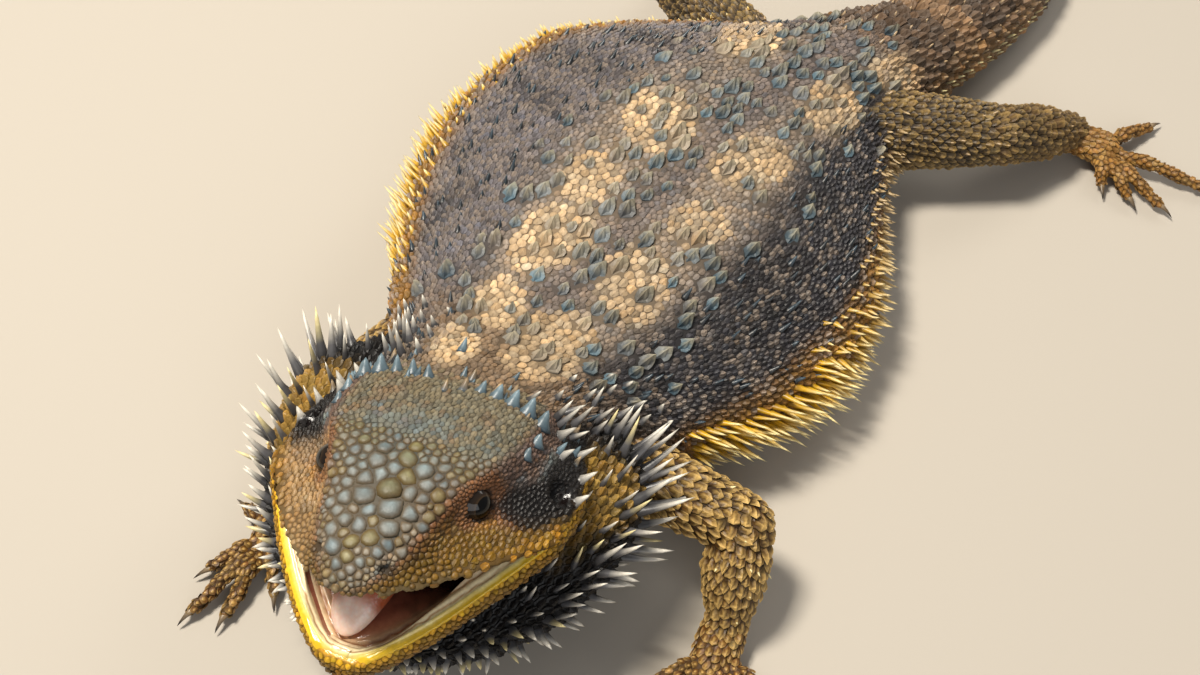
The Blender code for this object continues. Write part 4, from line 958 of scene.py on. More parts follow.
def gap_from_pair(points, place):
    """How far each point is from the nearer of a pair on the head, such as the two eyes."""
    pair = [head_point(place[0], side * place[1], place[2]) for side in (1, -1)]
    return np.min([np.linalg.norm(points - middle, axis=1) for middle in pair], axis=0)


# A scale covers SCALE_COVER of its spacing squared, and TRIES places are tried for every one that fits.
TRIES, SCALE_COVER = 6.5, 0.87


def random_places():
    """Many places at random on the hide, closer together where the scales are small."""
    a, b, c = (skin_points[skin_triangles[:, k]] for k in range(3))
    area = np.linalg.norm(np.cross(b - a, c - a), axis=1) / 2
    middles = (a + b + c) / 3
    middle_kind = kind_of[skin_triangles[:, 0]]
    wanted = TRIES * area / (SCALE_COVER * scale_spacing(middles, middle_kind) ** 2)
    wanted[skin_mouth[skin_triangles[:, 0]]] = 0
    wanted[gap_from_pair(middles, EYE_AT) < EYE_RADIUS + 0.35] = 0
    wanted[gap_from_pair(middles, EAR_AT) < EAR_RADIUS - 0.4] = 0
    wanted[gap_from_pair(middles, NOSTRIL_AT) < NOSTRIL_RADIUS] = 0
    count = rng.poisson(wanted)
    which = np.repeat(np.arange(len(area)), count)
    s, t = rng.random((2, len(which)))
    flip = s + t > 1
    s[flip], t[flip] = 1 - s[flip], 1 - t[flip]
    places = a[which] + (b - a)[which] * s[:, None] + (c - a)[which] * t[:, None]
    return places, skin_triangles[which, 0]


# The large blue scales strewn on the back are placed first, then the snout's plates from the biggest down. A
# scale keeps others APART of its own spacing away.
BACK_HALF, LARGE_SHARE, LARGE_SIZES = 34, 0.0095, (2.7, 4.3)
APART = 0.8
places, owner = random_places()
place_kind = kind_of[owner]
spacing = scale_spacing(places, place_kind)
trunk_w = places[:, 0] - keyed(MIDLINE_X, places[:, 1])
on_back = (place_kind == "trunk") & (np.abs(trunk_w) < BACK_HALF) & (places[:, 2] > 22)
on_back &= (places[:, 1] > -60) & (places[:, 1] < 100)
large = on_back & (rng.random(len(places)) < LARGE_SHARE * (1.25 - np.abs(trunk_w) / BACK_HALF))
mixed = rng.uniform(0.86, 1.18, len(places))
place_f, place_out, _ = head_frame(places)
between_brows = np.abs(place_out) < keyed(BROW_OUT, place_f) - 0.6
snout_plate = (place_kind == "head") & (place_f > 17) & between_brows & (spacing > 1.2)
core = np.exp(-(((place_f - 30) / 10) ** 2) - (place_out / 7.5) ** 2)
plate_sizes = np.interp(rng.random(len(places)), (0, 0.8, 0.95, 1), (0.62, 0.8, 1.05, 1.35))
mixed = np.where(snout_plate, plate_sizes * (1 + 0.9 * core), mixed)
spacing = np.where(large, rng.uniform(*LARGE_SIZES, len(places)), spacing * mixed)
large_order = rng.permutation(np.flatnonzero(large))
plate_order = np.flatnonzero(snout_plate)[np.argsort(-spacing[snout_plate], kind="stable")]
plain_order = rng.permutation(np.flatnonzero(~large & ~snout_plate))
order = np.concatenate([large_order, plate_order, plain_order])
place_tree = tree_of(places)
taken = np.zeros(len(places), bool)
chosen = []
for k in order:
    if taken[k]:
        continue
    chosen.append(k)
    for _, j, _ in place_tree.find_range(places[k], APART * spacing[k]):
        taken[j] = True
chosen = np.array(chosen)
centres, owner, spacing, large = places[chosen], owner[chosen], spacing[chosen], large[chosen]
snout_plate = snout_plate[chosen]
print("scales", len(centres))


def settle(points):
    """The nearest place on the hide to each point, and the hide's vertex nearest to that."""
    found = [skin_tree.find_nearest(point) for point in points]
    spots = np.array([hit[0] for hit in found])
    faces = np.array([hit[2] for hit in found])
    corners = skin_triangles[faces]
    nearest = np.argmin(np.linalg.norm(skin_points[corners] - spots[:, None], axis=2), axis=1)
    return spots, corners[np.arange(len(spots)), nearest]


SIDES, NEIGHBOURS = 10, 14
turns = np.arange(SIDES) * 2 * np.pi / SIDES
circle = np.stack([np.cos(turns), np.sin(turns)], axis=1)


def scale_frames(normals, flow):
    """The way each scale points along the hide, and the way across it."""
    flow = flow - normals * np.sum(flow * normals, axis=1)[:, None]
    size = np.linalg.norm(flow, axis=1)
    flow[size < 1e-6] = (1, 0, 0)
    flow /= np.maximum(np.linalg.norm(flow, axis=1), 1e-9)[:, None]
    return flow, np.cross(normals, flow)


def outlines(points, normals, along, across, spacing, widest):
    """Each scale's outline: how far it reaches in each direction before it meets its neighbours halfway."""
    tree = tree_of(points)
    near = np.array([[found[1] for found in tree.find_n(point, NEIGHBOURS + 1)][1:] for point in points])
    away = points[near] - points[:, None]
    same = np.sum(normals[near] * normals[:, None], axis=2) > 0.1
    u = np.sum(away * along[:, None], axis=2)
    v = np.sum(away * across[:, None], axis=2)
    flat = u**2 + v**2
    toward = u[:, :, None] * circle[None, None, :, 0] + v[:, :, None] * circle[None, None, :, 1]
    part = (spacing[:, None] / (spacing[:, None] + spacing[near]))[:, :, None]
    halfway = part * flat[:, :, None] / np.maximum(toward, 1e-6)
    reach = np.where((toward > 1e-6) & same[:, :, None], halfway, 99.0)
    return np.minimum(reach.min(axis=1), (widest * spacing)[:, None])


normals = skin_normals[owner]
along, across = scale_frames(normals, flow_of[owner])
lip_f, _, lip_up = head_frame(centres)
at_lip = (kind_of[owner] == "head") & (lip_up < keyed(LIP_UP, lip_f) + 1.5)
LIP_WIDEST, PLATE_WIDEST, PLAIN_WIDEST = 0.54, 1.15, 0.72
SECTOR_MIDDLE = 0.67
widest = np.where(at_lip, LIP_WIDEST, np.where(snout_plate, PLATE_WIDEST, PLAIN_WIDEST))
for _ in range(2):
    reach = outlines(centres, normals, along, across, spacing, widest)
    weight = reach**2
    shift_u = (reach * weight * circle[:, 0]).sum(axis=1) / weight.sum(axis=1) * SECTOR_MIDDLE
    shift_v = (reach * weight * circle[:, 1]).sum(axis=1) / weight.sum(axis=1) * SECTOR_MIDDLE
    centres, owner = settle(centres + along * shift_u[:, None] + across * shift_v[:, None])
    normals = skin_normals[owner]
    along, across = scale_frames(normals, flow_of[owner])
keep = ~in_mouth(centres, normals, kind_of[owner])
centres, owner, spacing, large = centres[keep], owner[keep], spacing[keep], large[keep]
snout_plate, widest = snout_plate[keep], widest[keep]
normals, along, across = normals[keep], along[keep], across[keep]
kind = kind_of[owner]
reach = outlines(centres, normals, along, across, spacing, widest)
reach[large] *= 1 - 0.26 * np.abs(2 * circle[:, 0] * circle[:, 1])

# Each kind of scale has its dome, its keel, how far its rear edge stands up and how far it runs out to a
# point over the next one, all as shares of its own size.
head_f, head_out, _ = head_frame(centres)
is_head = kind == "head"
is_trunk = kind == "trunk"
off_midline, side_share, edge_height = trunk_place(centres[:, 0], centres[:, 1])
below = is_trunk & (centres[:, 2] < edge_height - 4)
trunk_top = is_trunk & ~below
on_tail = trunk_top & (centres[:, 1] > 88)
flank = trunk_top & (side_share > 0.45) & ~on_tail
shape = np.tile((0.2, 0.0, 0.05, 0.0), (len(centres), 1))
shape[trunk_top] = (0.12, 0.12, 0.13, 0.15)
shape[flank] = (0.12, 0.24, 0.24, 0.3)
shape[on_tail] = (0.06, 0.26, 0.28, 0.45)
shape[is_head] = (0.24, 0.0, 0.03, 0.0)
shape[is_head & (head_f < 16)] = (0.14, 0.12, 0.16, 0.15)
shape[is_head & (np.abs(head_out) > keyed(BROW_OUT, head_f) + 0.5) & (head_f < 36)] = (0.1, 0.14, 0.22, 0.28)
shape[snout_plate] = (0.27, 0.0, 0.02, 0.0)
shape[kind == "jaw"] = (0.2, 0.1, 0.1, 0.1)
shape[kind == "beard"] = (0.12, 0.3, 0.32, 0.42)
shape[below] = (0.08, 0.0, 0.06, 0.05)
LIMB_FORMS = (("arm_upper", (0.04, 0.17, 0.34, 0.75)), ("arm_lower", (0.04, 0.17, 0.36, 0.75)),
              ("arm_palm", (0.08, 0.12, 0.28, 0.4)), ("arm_toe", (0.12, 0.04, 0.26, 0.25)),
              ("leg_upper", (0.06, 0.2, 0.32, 0.6)), ("leg_lower", (0.04, 0.2, 0.36, 0.75)),
              ("leg_palm", (0.08, 0.12, 0.28, 0.4)), ("leg_toe", (0.12, 0.04, 0.26, 0.25)))
for name, form in LIMB_FORMS:
    shape[np.char.startswith(kind, name)] = form
shape[large] = (0.03, 0.34, 0.4, 0.4)
shape[:, :3] *= rng.uniform(0.7, 1.35, (len(centres), 1))
dome, keel, lift, point = shape.T
crisp = keel > 0.02

colour = markings(centres, kind, np.zeros(len(centres), bool))
colour = 0.7 * colour + 0.3 * skin_colour[owner]
tone = rng.normal(1.0, 0.17, len(centres)) + np.where(is_trunk, rng.normal(0, 0.16, len(centres)), 0)
colour *= np.clip(tone, 0.5, 1.5)[:, None]
on_cap = is_head & (head_f > 8) & (np.abs(head_out) < keyed(BROW_OUT, head_f) - 1)
warm = rng.normal(0, 0.07, len(centres)) * np.where(on_cap, 1.8, 0.8)
warm = np.where(on_cap & (warm > 0), 0.45 * warm, warm)
colour *= 1 + np.stack([warm, warm * 0.2, -warm], axis=1)
in_blotch = np.linalg.norm(colour, axis=1) > 0.55 * np.linalg.norm(COLOURS["blotch"])
teal = rng.uniform(0.35, 0.85, len(centres)) * np.where(in_blotch, 0.75, 1.0)
is_pearl = rng.random(len(centres)) < np.where(spacing > 2.6, 0.8, 0.6)
pearl = np.where(is_pearl[:, None], COLOURS["pearl"], COLOURS["sage"])
pearl = pearl * rng.uniform(0.7, 1.15, (len(centres), 1))
colour[snout_plate] = blend(colour, pearl, 0.25 + 0.4 * step(spacing, 1.6, 2.8))[snout_plate]
colour[large] = blend(colour, COLOURS["blue"] * rng.uniform(0.4, 1.2, (len(centres), 1)), teal)[large]
# tip is the light colour laid on each scale's crown, keel line and rear edge. On most scales it is painted
# highlight, the colour made lighter where light would catch; on the limbs and the large back scales it is
# partly their own cream edges and pale keels, and on the specks their own colour.
tip = np.minimum(colour * 1.35 + 0.02, 1.0)
speck = flank & (rng.random(len(centres)) < 0.2 + 0.25 * (off_midline < 0))
colour[speck] = 0.6 * colour[speck] + 0.4 * COLOURS["speck"] * rng.uniform(0.5, 1.3, (speck.sum(), 1))
tip[speck] = COLOURS["speck"] * rng.uniform(0.8, 1.6, (speck.sum(), 1))
pale = np.char.startswith(kind, "arm_") | np.char.startswith(kind, "leg_")
tip[pale] = 0.15 * colour[pale] + 0.85 * COLOURS["arm_edge"]
hind = np.char.startswith(kind, "leg_")
tip[hind] = 0.65 * colour[hind] + 0.35 * COLOURS["arm_edge"]
tip[is_head] = colour[is_head] * 1.3
tip[snout_plate] = colour[snout_plate] * 1.25 + 0.01
cheek_scale = is_head & ~on_cap & (head_f < 40)
tip[cheek_scale] = colour[cheek_scale] * 1.5
on_beard = kind == "beard"
tip[on_beard] = colour[on_beard] * 1.5 + 0.006
tip[large] = 0.45 * colour[large] + 0.55 * COLOURS["keel"]
tip = np.clip(tip, 0, 1)
# groove_shade darkens each scale's sunk outline: painted shade in the gaps between scales. On the fore part
# of the head it also warms them toward golden brown, their own colour.
groove_shade = np.full((len(centres), 3), 0.3)
groove_shade[is_trunk] = 0.22
groove_shade[is_head & (head_f > 16)] = (0.62, 0.5, 0.34)


def cone_faces(sides, rings):
    """A cone's faces by vertex number: the quads between its rings and the fan round its tip."""
    last = (rings - 1) * sides
    k = np.arange(sides)
    m = (k + 1) % sides
    band = np.stack([k, m, sides + m, sides + k], axis=1)
    quads = np.concatenate([low + band for low in range(0, last, sides)])
    return quads, last + np.stack([k, m, np.full(sides, sides)], axis=1)


def scale_mesh(name, pick):
    """One joined mesh of the picked scales: each has a sunk outline, a shoulder, a crown and a ridge."""
    c, nrm, fwd, side = centres[pick], normals[pick], along[pick], across[pick]
    r, size = reach[pick], spacing[pick]
    n = len(c)
    rear = np.maximum(0, circle[:, 0])[None, :]
    spike = rear**3 * point[pick][:, None]
    on_ridge = np.maximum(0, 1 - 2.2 * np.abs(circle[:, 1]))[None, :]
    lifted = (lift[pick] * size)[:, None] * rear
    tilt = rng.normal(0, 0.045, (n, 2)) @ circle.T * size[:, None]
    high = (dome[pick] * size)[:, None]
    ridge = (keel[pick] * size)[:, None] * on_ridge
    layers, colours = [], []
    base = colour[pick]
    shoulder = 0.55 * high + 0.75 * lifted + tilt
    free = rear * np.minimum(1, 2.4 * point[pick])[:, None]
    edge = (np.minimum(size, 1.7) / size)[:, None]
    peaked = snout_plate[pick][:, None]
    shoulder = np.where(peaked, 0.4 * high + tilt, shoulder)
    rises = ((1 - free) * -0.16 * edge * size[:, None] + free * (shoulder - 0.07 * size[:, None]), shoulder,
             np.where(peaked, 0.78, 0.95) * high + 0.6 * lifted + ridge * (0.55 + 0.35 * rear) + 0.6 * tilt)
    # Each ring is painted darker toward the outline, from 0.95 of the colour at the crown to 0.8 at the
    # shoulder and groove_shade at the sunk edge: painted shade.
    for share, rise, shade in zip((1 - 0.015 * edge, 1 - 0.13 * edge, 0.5), rises, (0.3, 0.8, 0.95)):
        reach_here = r * share * (1 + spike)
        ahead = fwd[:, None] * (reach_here * circle[:, 0])[:, :, None]
        aside = side[:, None] * (reach_here * circle[:, 1])[:, :, None]
        layers.append(c[:, None] + (ahead + aside) + nrm[:, None] * rise[:, :, None])
        dim = groove_shade[pick] if shade < 0.5 else shade
        colours.append(np.repeat((base * dim)[:, None], SIDES, axis=1))
    # The rear edge and the keel line take the tip colour: painted highlight, on the limbs and the large back
    # scales partly their own pale edges and keels.
    pointed = np.minimum(1, 2 * point[pick])[:, None, None]
    ends = np.clip((circle[:, 0] - 0.2) / 0.6, 0, 1)[None, :, None] * pointed
    colours[0] = mix(colours[0], 0.8 * tip[pick][:, None], ends)
    rim = np.where(pale[pick], 0.3, 0.55)[:, None, None] * ends
    colours[1] = mix(colours[1], tip[pick][:, None], rim)
    keeled = np.minimum(1, 4 * keel[pick])[:, None, None]
    keel_line = (np.maximum(0, circle[:, 0]) ** 12)[None, :, None] * keeled
    for layer in (1, 2):
        colours[layer] = mix(colours[layer], tip[pick][:, None], keel_line)
    stained = 0.75 * snout_plate[pick][:, None, None]
    colours[1] = mix(colours[1], COLOURS["horn_edge"], stained)
    colours[2] = mix(colours[2], COLOURS["horn_edge"], 0.35 * stained)
    # The apex takes most of the tip colour: painted highlight.
    crest = np.where(large[pick], 0.8, np.where(point[pick] > 0.3, 0.45, 0.8))[:, None]
    apex_rise = (dome[pick] + 0.95 * keel[pick] + 0.45 * lift[pick]) * size
    apex = c + fwd * (0.2 * size)[:, None] + nrm * apex_rise[:, None]
    layers.append(apex[:, None])
    colours.append((base + (tip[pick] - base) * crest)[:, None])
    points = np.concatenate(layers, axis=1)
    shades = np.concatenate(colours, axis=1)
    per = points.shape[1]
    quads, fans = cone_faces(SIDES, 3)
    first = np.arange(n)[:, None, None] * per
    loops = np.concatenate([(faces + first).reshape(n, -1) for faces in (quads, fans)], axis=1).ravel()
    totals = np.tile(np.repeat([4, 3], [len(quads), len(fans)]), n)
    soft = np.repeat(~crisp[pick], len(quads) + len(fans))
    return joined_mesh(name, points.reshape(-1, 3), loops, totals, shades.reshape(-1, 3),
                       np.repeat(unwrap_of[owner[pick]], per, axis=0), (points - c[:, None]).reshape(-1, 3),
                       np.repeat(fwd, per, axis=0), np.repeat(side, per, axis=0), soft)


# A scale has a patch of PATCH on the unwrap at its root's place. Nothing goes under LOWEST, and heights above
# SOFT_TOP are cut by SOFT_SHARE on the hide and all on it, so that the crown keeps inside the solid model.
PATCH = 0.003
LOWEST = 0.05
SOFT_TOP, SOFT_SHARE = cad_box[1][2] / MM - 4.5, 0.27
for vert in skin.data.vertices:
    vert.co.z -= SOFT_SHARE * max(vert.co.z - SOFT_TOP * MM, 0)


def joined_mesh(name, points, loops, totals, shades, roots, offsets, fwd, side, soft=True):
    """A mesh from flat lists, with its colours and its OFBake map: a small patch at each root's place."""
    points[:, 2] = np.maximum(points[:, 2], LOWEST)
    above = np.maximum(points[:, 2] - SOFT_TOP, 0)
    points[:, 2] -= SOFT_SHARE * above
    mesh = bpy.data.meshes.new(name)
    mesh.vertices.add(len(points))
    mesh.vertices.foreach_set("co", np.ascontiguousarray(points * MM, np.float32).ravel())
    mesh.loops.add(len(loops))
    mesh.loops.foreach_set("vertex_index", np.ascontiguousarray(loops, np.int32))
    mesh.polygons.add(len(totals))
    starts = np.concatenate([[0], np.cumsum(totals)[:-1]])
    mesh.polygons.foreach_set("loop_start", np.ascontiguousarray(starts, np.int32))
    mesh.update(calc_edges=True)
    paint(mesh, shades)
    flat = np.stack([np.sum(offsets * fwd, axis=1), np.sum(offsets * side, axis=1)], axis=1)
    flat = np.clip(flat / 3.0, -1, 1) * PATCH / 2
    bake = mesh.uv_layers.new(name="OFBake")
    bake.data.foreach_set("uv", np.ascontiguousarray((roots + flat)[loops], np.float32).ravel())
    mesh.polygons.foreach_set("use_smooth", np.broadcast_to(soft, len(totals)).copy())
    obj = bpy.data.objects.new(name, mesh)
    bpy.context.scene.collection.objects.link(obj)
    return obj


scale_finish = scaly_material("painted_keratin_scales", 0.46, 0.35, 0.12, 0.35)
TRIANGLES_PER_SCALE, MOST_TRIANGLES = 5 * SIDES, 195000
groups = {"head_scales": (is_head | (kind == "jaw"), "head_scales"),
          "beard_scales": (kind == "beard", "beard_scales"),
          "back_scales": (is_trunk & ~below & (centres[:, 1] <= TAIL_FROM), "body_scales"),
          "belly_scales": (is_trunk & below & (centres[:, 1] <= TAIL_FROM), "body_scales"),
          "tail_scales": (is_trunk & (centres[:, 1] > TAIL_FROM), "body_scales"),
          "arm_scales": (np.char.startswith(kind, "arm"), "limb_scales"),
          "leg_scales": (np.char.startswith(kind, "leg"), "limb_scales")}
for name, (members, slot) in groups.items():
    members = np.flatnonzero(members)
    lots = max(1, math.ceil(len(members) * TRIANGLES_PER_SCALE / MOST_TRIANGLES))
    members = members[np.argsort(centres[members, 0], kind="stable")]
    for lot, share in enumerate(np.array_split(members, lots)):
        piece = scale_mesh(f"{name}_{lot + 1}", share)
        piece.data.materials.append(scale_finish)
        hold(piece, slot)
        print(piece.name, len(share), "scales")

# The spines: curved horny cones with a dark foot and a pale tip. They stand in rows round the beard, along
# both edges of the trunk, behind the ears, across the back of the skull and down the tail.
SPINE_SIDES, SPINE_RINGS = 8, 5


def spine_mesh(name, spines, on_hide=True):
    """One joined mesh of curved cones.

    A spine is its root, direction, length, width, bend and the colours of its foot, its tip and, if need be,
    its middle.
    """
    roots = np.array([s[0] for s in spines])
    spots, vertex = settle(roots)
    if on_hide:
        roots = spots - skin_normals[vertex] * 0.35
    lean = np.array([unit(s[1]) for s in spines])
    length, width = np.array([s[2] for s in spines]), np.array([s[3] for s in spines])
    bend = np.array([s[4] for s in spines])
    foot, end = np.array([s[5] for s in spines]), np.array([s[6] for s in spines])
    middle = np.array([s[7] if len(s) > 7 else (s[5] + s[6]) / 2 for s in spines])
    side = np.cross(lean, (0.13, 0.21, 0.97))
    side /= np.linalg.norm(side, axis=1)[:, None]
    over = np.cross(side, lean)
    a = np.arange(SPINE_SIDES) * 2 * np.pi / SPINE_SIDES
    n = len(spines)
    layers, colours = [], []
    for k in range(SPINE_RINGS):
        t = k / SPINE_RINGS
        centre = roots + lean * (length * (t * 1.12 - 0.12))[:, None] + bend * (length * t * t)[:, None]
        radius = width / 2 * (1 - t) ** 0.8 * (1 + 0.12 * math.cos(t * 6))
        spokes = side[:, None] * np.cos(a)[None, :, None] + over[:, None] * np.sin(a)[None, :, None] * 0.72
        ring = centre[:, None] + spokes * radius[:, None, None]
        ring[:, :, 2] = np.maximum(ring[:, :, 2], FLOOR_CLEAR)
        layers.append(ring)
        t_low, t_high = min(1, max(0, (t - 0.1) / 0.25)), min(1, max(0, (t - 0.45) / 0.4))
        shade = foot + (middle - foot) * t_low + (end - middle) * t_high
        colours.append(np.repeat(shade[:, None], SPINE_SIDES, axis=1))
    top = roots + lean * length[:, None] + bend * length[:, None]
    top[:, 2] = np.maximum(top[:, 2], FLOOR_CLEAR)
    layers.append(top[:, None])
    colours.append(end[:, None])
    points, shades = np.concatenate(layers, axis=1), np.concatenate(colours, axis=1)
    per = points.shape[1]
    quads, fans = cone_faces(SPINE_SIDES, SPINE_RINGS)
    quads, fans = quads[:, [0, 3, 2, 1]], fans[:, [1, 0, 2]]
    foot_face = np.arange(SPINE_SIDES)[None]
    first = np.arange(n)[:, None, None] * per
    loops = np.concatenate([(faces + first).reshape(n, -1) for faces in (quads, fans, foot_face)], axis=1)
    totals = np.tile(np.repeat([4, 3, SPINE_SIDES], [len(quads), len(fans), 1]), n)
    obj = joined_mesh(name, points.reshape(-1, 3), loops.ravel(), totals, shades.reshape(-1, 3),
                      np.repeat(unwrap_of[vertex], per, axis=0), (points - roots[:, None]).reshape(-1, 3),
                      np.repeat(lean, per, axis=0), np.repeat(side, per, axis=0))
    face_outward(obj.data)
    return obj


HORN_COLOURS = dict(white="#e9e2d3", black="#15110f", grey="#5d5c5e", gold="#c99b14", cream="#f0dfa4",
                    sand="#bfa27a", brown="#3d2d1f", blue="#33444f", umber="#6b4717", steel="#7c929c")
SPINE_COLOURS = {key: np.array(linear(value)) for key, value in HORN_COLOURS.items()}

# A row of spines: its angle round the body in degrees, the gap between spines and how long they are.
FRINGE_ROWS_LEFT = ((-26, 2.6, 0.65), (-18, 2.3, 0.85), (-11, 2.1, 1.0), (-4, 2.0, 1.05), (3, 2.0, 1.0),
                    (10, 2.2, 0.85), (17, 2.5, 0.65), (26, 3.2, 0.45))
FRINGE_ROWS_RIGHT = ((-14, 2.6, 0.8), (-6, 2.2, 1.0), (1, 2.2, 1.0), (8, 2.4, 0.85), (15, 2.9, 0.6),
                     (23, 3.6, 0.4))
FRINGE_LENGTH = ((-44, 8), (-36, 11.5), (-15, 11.5), (8, 8), (45, 6), (75, 5), (90, 3.6))
fringe = []
for side_sign, rows in ((1, FRINGE_ROWS_LEFT), (-1, FRINGE_ROWS_RIGHT)):
    for degrees, gap, factor in rows:
        y = (-45.0 if degrees < 15 or side_sign < 0 else -8.0) + rng.uniform(0, gap)
        while y < TRUNK_END - 1:
            angle = math.radians(degrees + rng.uniform(-3.5, 3.5))
            angle = angle if side_sign > 0 else math.pi - angle
            root = trunk_point(y, angle, -0.3)
            _, level, back = trunk_frame(y)
            rise = math.sin(math.radians(degrees)) - (0.12 if side_sign > 0 else 0)
            sweep = rng.uniform(-0.25, 0.35) if side_sign > 0 else rng.uniform(0.0, 0.6)
            lean = unit(level * side_sign + back * sweep + np.array([0, 0, rise + rng.uniform(-0.15, 0.15)]))
            full_length = smooth(FRINGE_LENGTH, y) * factor
            length = full_length * rng.uniform(0.6, 1.0) * (1.0 if side_sign > 0 else 0.85)
            dull = np.clip((y + 5) / 70, 0, 0.85) if side_sign > 0 else 0.1
            foot = SPINE_COLOURS["umber"] * (1 - dull) + SPINE_COLOURS["black"] * dull
            shine = SPINE_COLOURS["gold"] * (1 - dull) + SPINE_COLOURS["sand"] * 0.55 * dull
            end = SPINE_COLOURS["cream"] * (1 - dull) + SPINE_COLOURS["sand"] * dull
            fringe.append((root, lean, length, rng.uniform(1.7, 2.4), (0, 0.06, 0.1),
                           foot * rng.uniform(0.5, 1.2), end * rng.uniform(0.8, 1.0),
                           shine * rng.uniform(0.75, 1.15)))
            stride = np.linalg.norm(trunk_point(y + 1, angle) - trunk_point(y, angle))
            y += gap * rng.uniform(0.8, 1.2) / max(stride, 1.0)

BEARD_ROWS = ((42, 6.4, 0.5), (29, 5.8, 0.75), (17, 5.4, 0.95), (7, 5.2, 1.05), (-3, 5.2, 1.05),
              (-13, 5.2, 1.0), (-24, 5.6, 0.85), (-38, 6.0, 0.7), (-54, 6.6, 0.55), (-72, 7.4, 0.45))
BEARD_SPINE_LENGTH = ((-18, 10.5), (-6, 12.5), (6, 11), (22, 8), (36, 6), (50, 4))


def beard_normal(f, angle):
    a = beard_point(f, angle + 0.04) - beard_point(f, angle - 0.04)
    b = beard_point(f + 0.7, angle) - beard_point(f - 0.7, angle)
    normal = unit(np.cross(a, b))
    centre = beard_point(f, 0) * 0.5 + beard_point(f, math.pi) * 0.5
    return normal if np.dot(normal, beard_point(f, angle) - centre) > 0 else -normal


beard_spines = []
for degrees, gap, factor in BEARD_ROWS:
    for side_sign in (1, -1):
        f = -18.0 + rng.uniform(0, gap)
        while f < 50:
            angle = math.radians(degrees + rng.uniform(-4, 4))
            angle = angle if side_sign > 0 else math.pi - angle
            root = beard_point(f, angle, -0.3)
            outward = beard_normal(f, angle)
            swept = outward + LEVEL_FORWARD * (-0.35 if f < 30 else 0.1)
            lean = swept + rng.normal(0, 0.12, 3) + np.array([0, 0, 0.1])
            length = smooth(BEARD_SPINE_LENGTH, f) * factor * rng.uniform(0.75, 1.08)
            *_, distance = skin_tree.find_nearest(root)
            if distance < 1.5:
                foot = SPINE_COLOURS["black"] if rng.random() < 0.6 else SPINE_COLOURS["grey"] * 0.5
                end = SPINE_COLOURS["white"] if rng.random() < 0.75 else SPINE_COLOURS["cream"]
                width = 3.0 * rng.uniform(0.8, 1.15) * (0.55 + 0.45 * factor)
                bend = LEVEL_FORWARD * -0.1 + np.array([0, 0, 0.12])
                beard_spines.append((root, lean, length, width, bend, foot, end,
                                     SPINE_COLOURS["grey"] * rng.uniform(0.5, 1.1)))
            stride = np.linalg.norm(beard_point(f + 1, angle) - beard_point(f, angle))
            f += gap * rng.uniform(0.8, 1.2) / max(stride, 1.0)

# A crown spine: how far forward, out and up it stands on the head, its length and its width.
CROWN_SPINES = ((-2.6, 6.0, -1.2, 3.0, 2.8), (-2.4, 9.6, -1.6, 3.4, 3.0), (-2.0, 13.2, -2.4, 3.8, 3.2),
                (-1.6, 16.8, -3.4, 4.0, 3.4), (-0.8, 20.2, -4.8, 3.8, 3.2), (4.4, 21.8, -4.0, 2.6, 2.6),
                (9.2, 21.6, -3.2, 2.4, 2.4), (-4.5, 24.5, -8.0, 4.6, 2.4), (0.5, 26.5, -8.6, 3.6, 2.4),
                (-4.0, 28.5, -12.0, 5.0, 2.3), (2.0, 31.4, -12.6, 4.4, 2.3), (8.0, 32.8, -12.8, 3.6, 2.2))
crown = []
for f, out, up, length, width in CROWN_SPINES:
    for side_sign in (1, -1):
        root = head_point(f, side_sign * out, up) - UP * 0.4
        rising = 0.9 if out < 22 else 0.35
        lean = FORWARD * -0.75 + LEFT * side_sign * (0.25 if out < 22 else 0.9) + UP * rising
        foot, end = (SPINE_COLOURS[tone] for tone in (("blue", "steel") if out < 22 else ("grey", "white")))
        length = min(length, (cad_box[1][2] / MM - 0.5 - root[2]) / max(unit(lean)[2] + 0.08, 0.05))
        crown.append((root, lean, length, width * rng.uniform(1.1, 1.45), (0, 0, 0.08),
                      foot * rng.uniform(0.6, 1.0), end * rng.uniform(0.55, 0.95)))

on_nape = is_trunk & (centres[:, 1] < -66) | is_head & (head_f < 1.5)
for k in np.flatnonzero(on_nape & (normals[:, 2] > 0.35) & (rng.random(len(centres)) < 0.08)):
    size = rng.uniform(0.45, 1.35)
    end = SPINE_COLOURS["steel"] if rng.random() < 0.6 else SPINE_COLOURS["sand"]
    crown.append((centres[k], normals[k] * 0.8 + along[k] * 0.75, 2.9 * size, 2.3 * size, (0, 0, 0.05),
                  SPINE_COLOURS["blue"], end * rng.uniform(0.45, 0.9)))

NECK_ROWS = ((24, 5.4, 0.8), (35, 4.8, 1.0), (46, 5.2, 0.9), (57, 6.4, 0.6))
for degrees, gap, factor in NECK_ROWS:
    for side_sign in (1, -1):
        y = -73.0 + rng.uniform(0, 2)
        while y < -49:
            angle = math.radians(degrees + rng.uniform(-4, 4))
            angle = angle if side_sign > 0 else math.pi - angle
            root = trunk_point(y, angle, -0.3)
            _, level, back = trunk_frame(y)
            size = factor * (1.12 - 0.03 * (y + 72)) * rng.uniform(0.75, 1.0)
            lean = level * side_sign * 0.7 + back * 0.5 + np.array([0, 0, 0.9])
            crown.append((root, lean + rng.normal(0, 0.14, 3), 7.0 * size, 2.6, (0, 0.05, 0.1),
                          SPINE_COLOURS["black"], SPINE_COLOURS["white"] * rng.uniform(0.6, 1.0),
                          SPINE_COLOURS["grey"] * rng.uniform(0.4, 1.0)))
            y += gap * rng.uniform(0.85, 1.15)

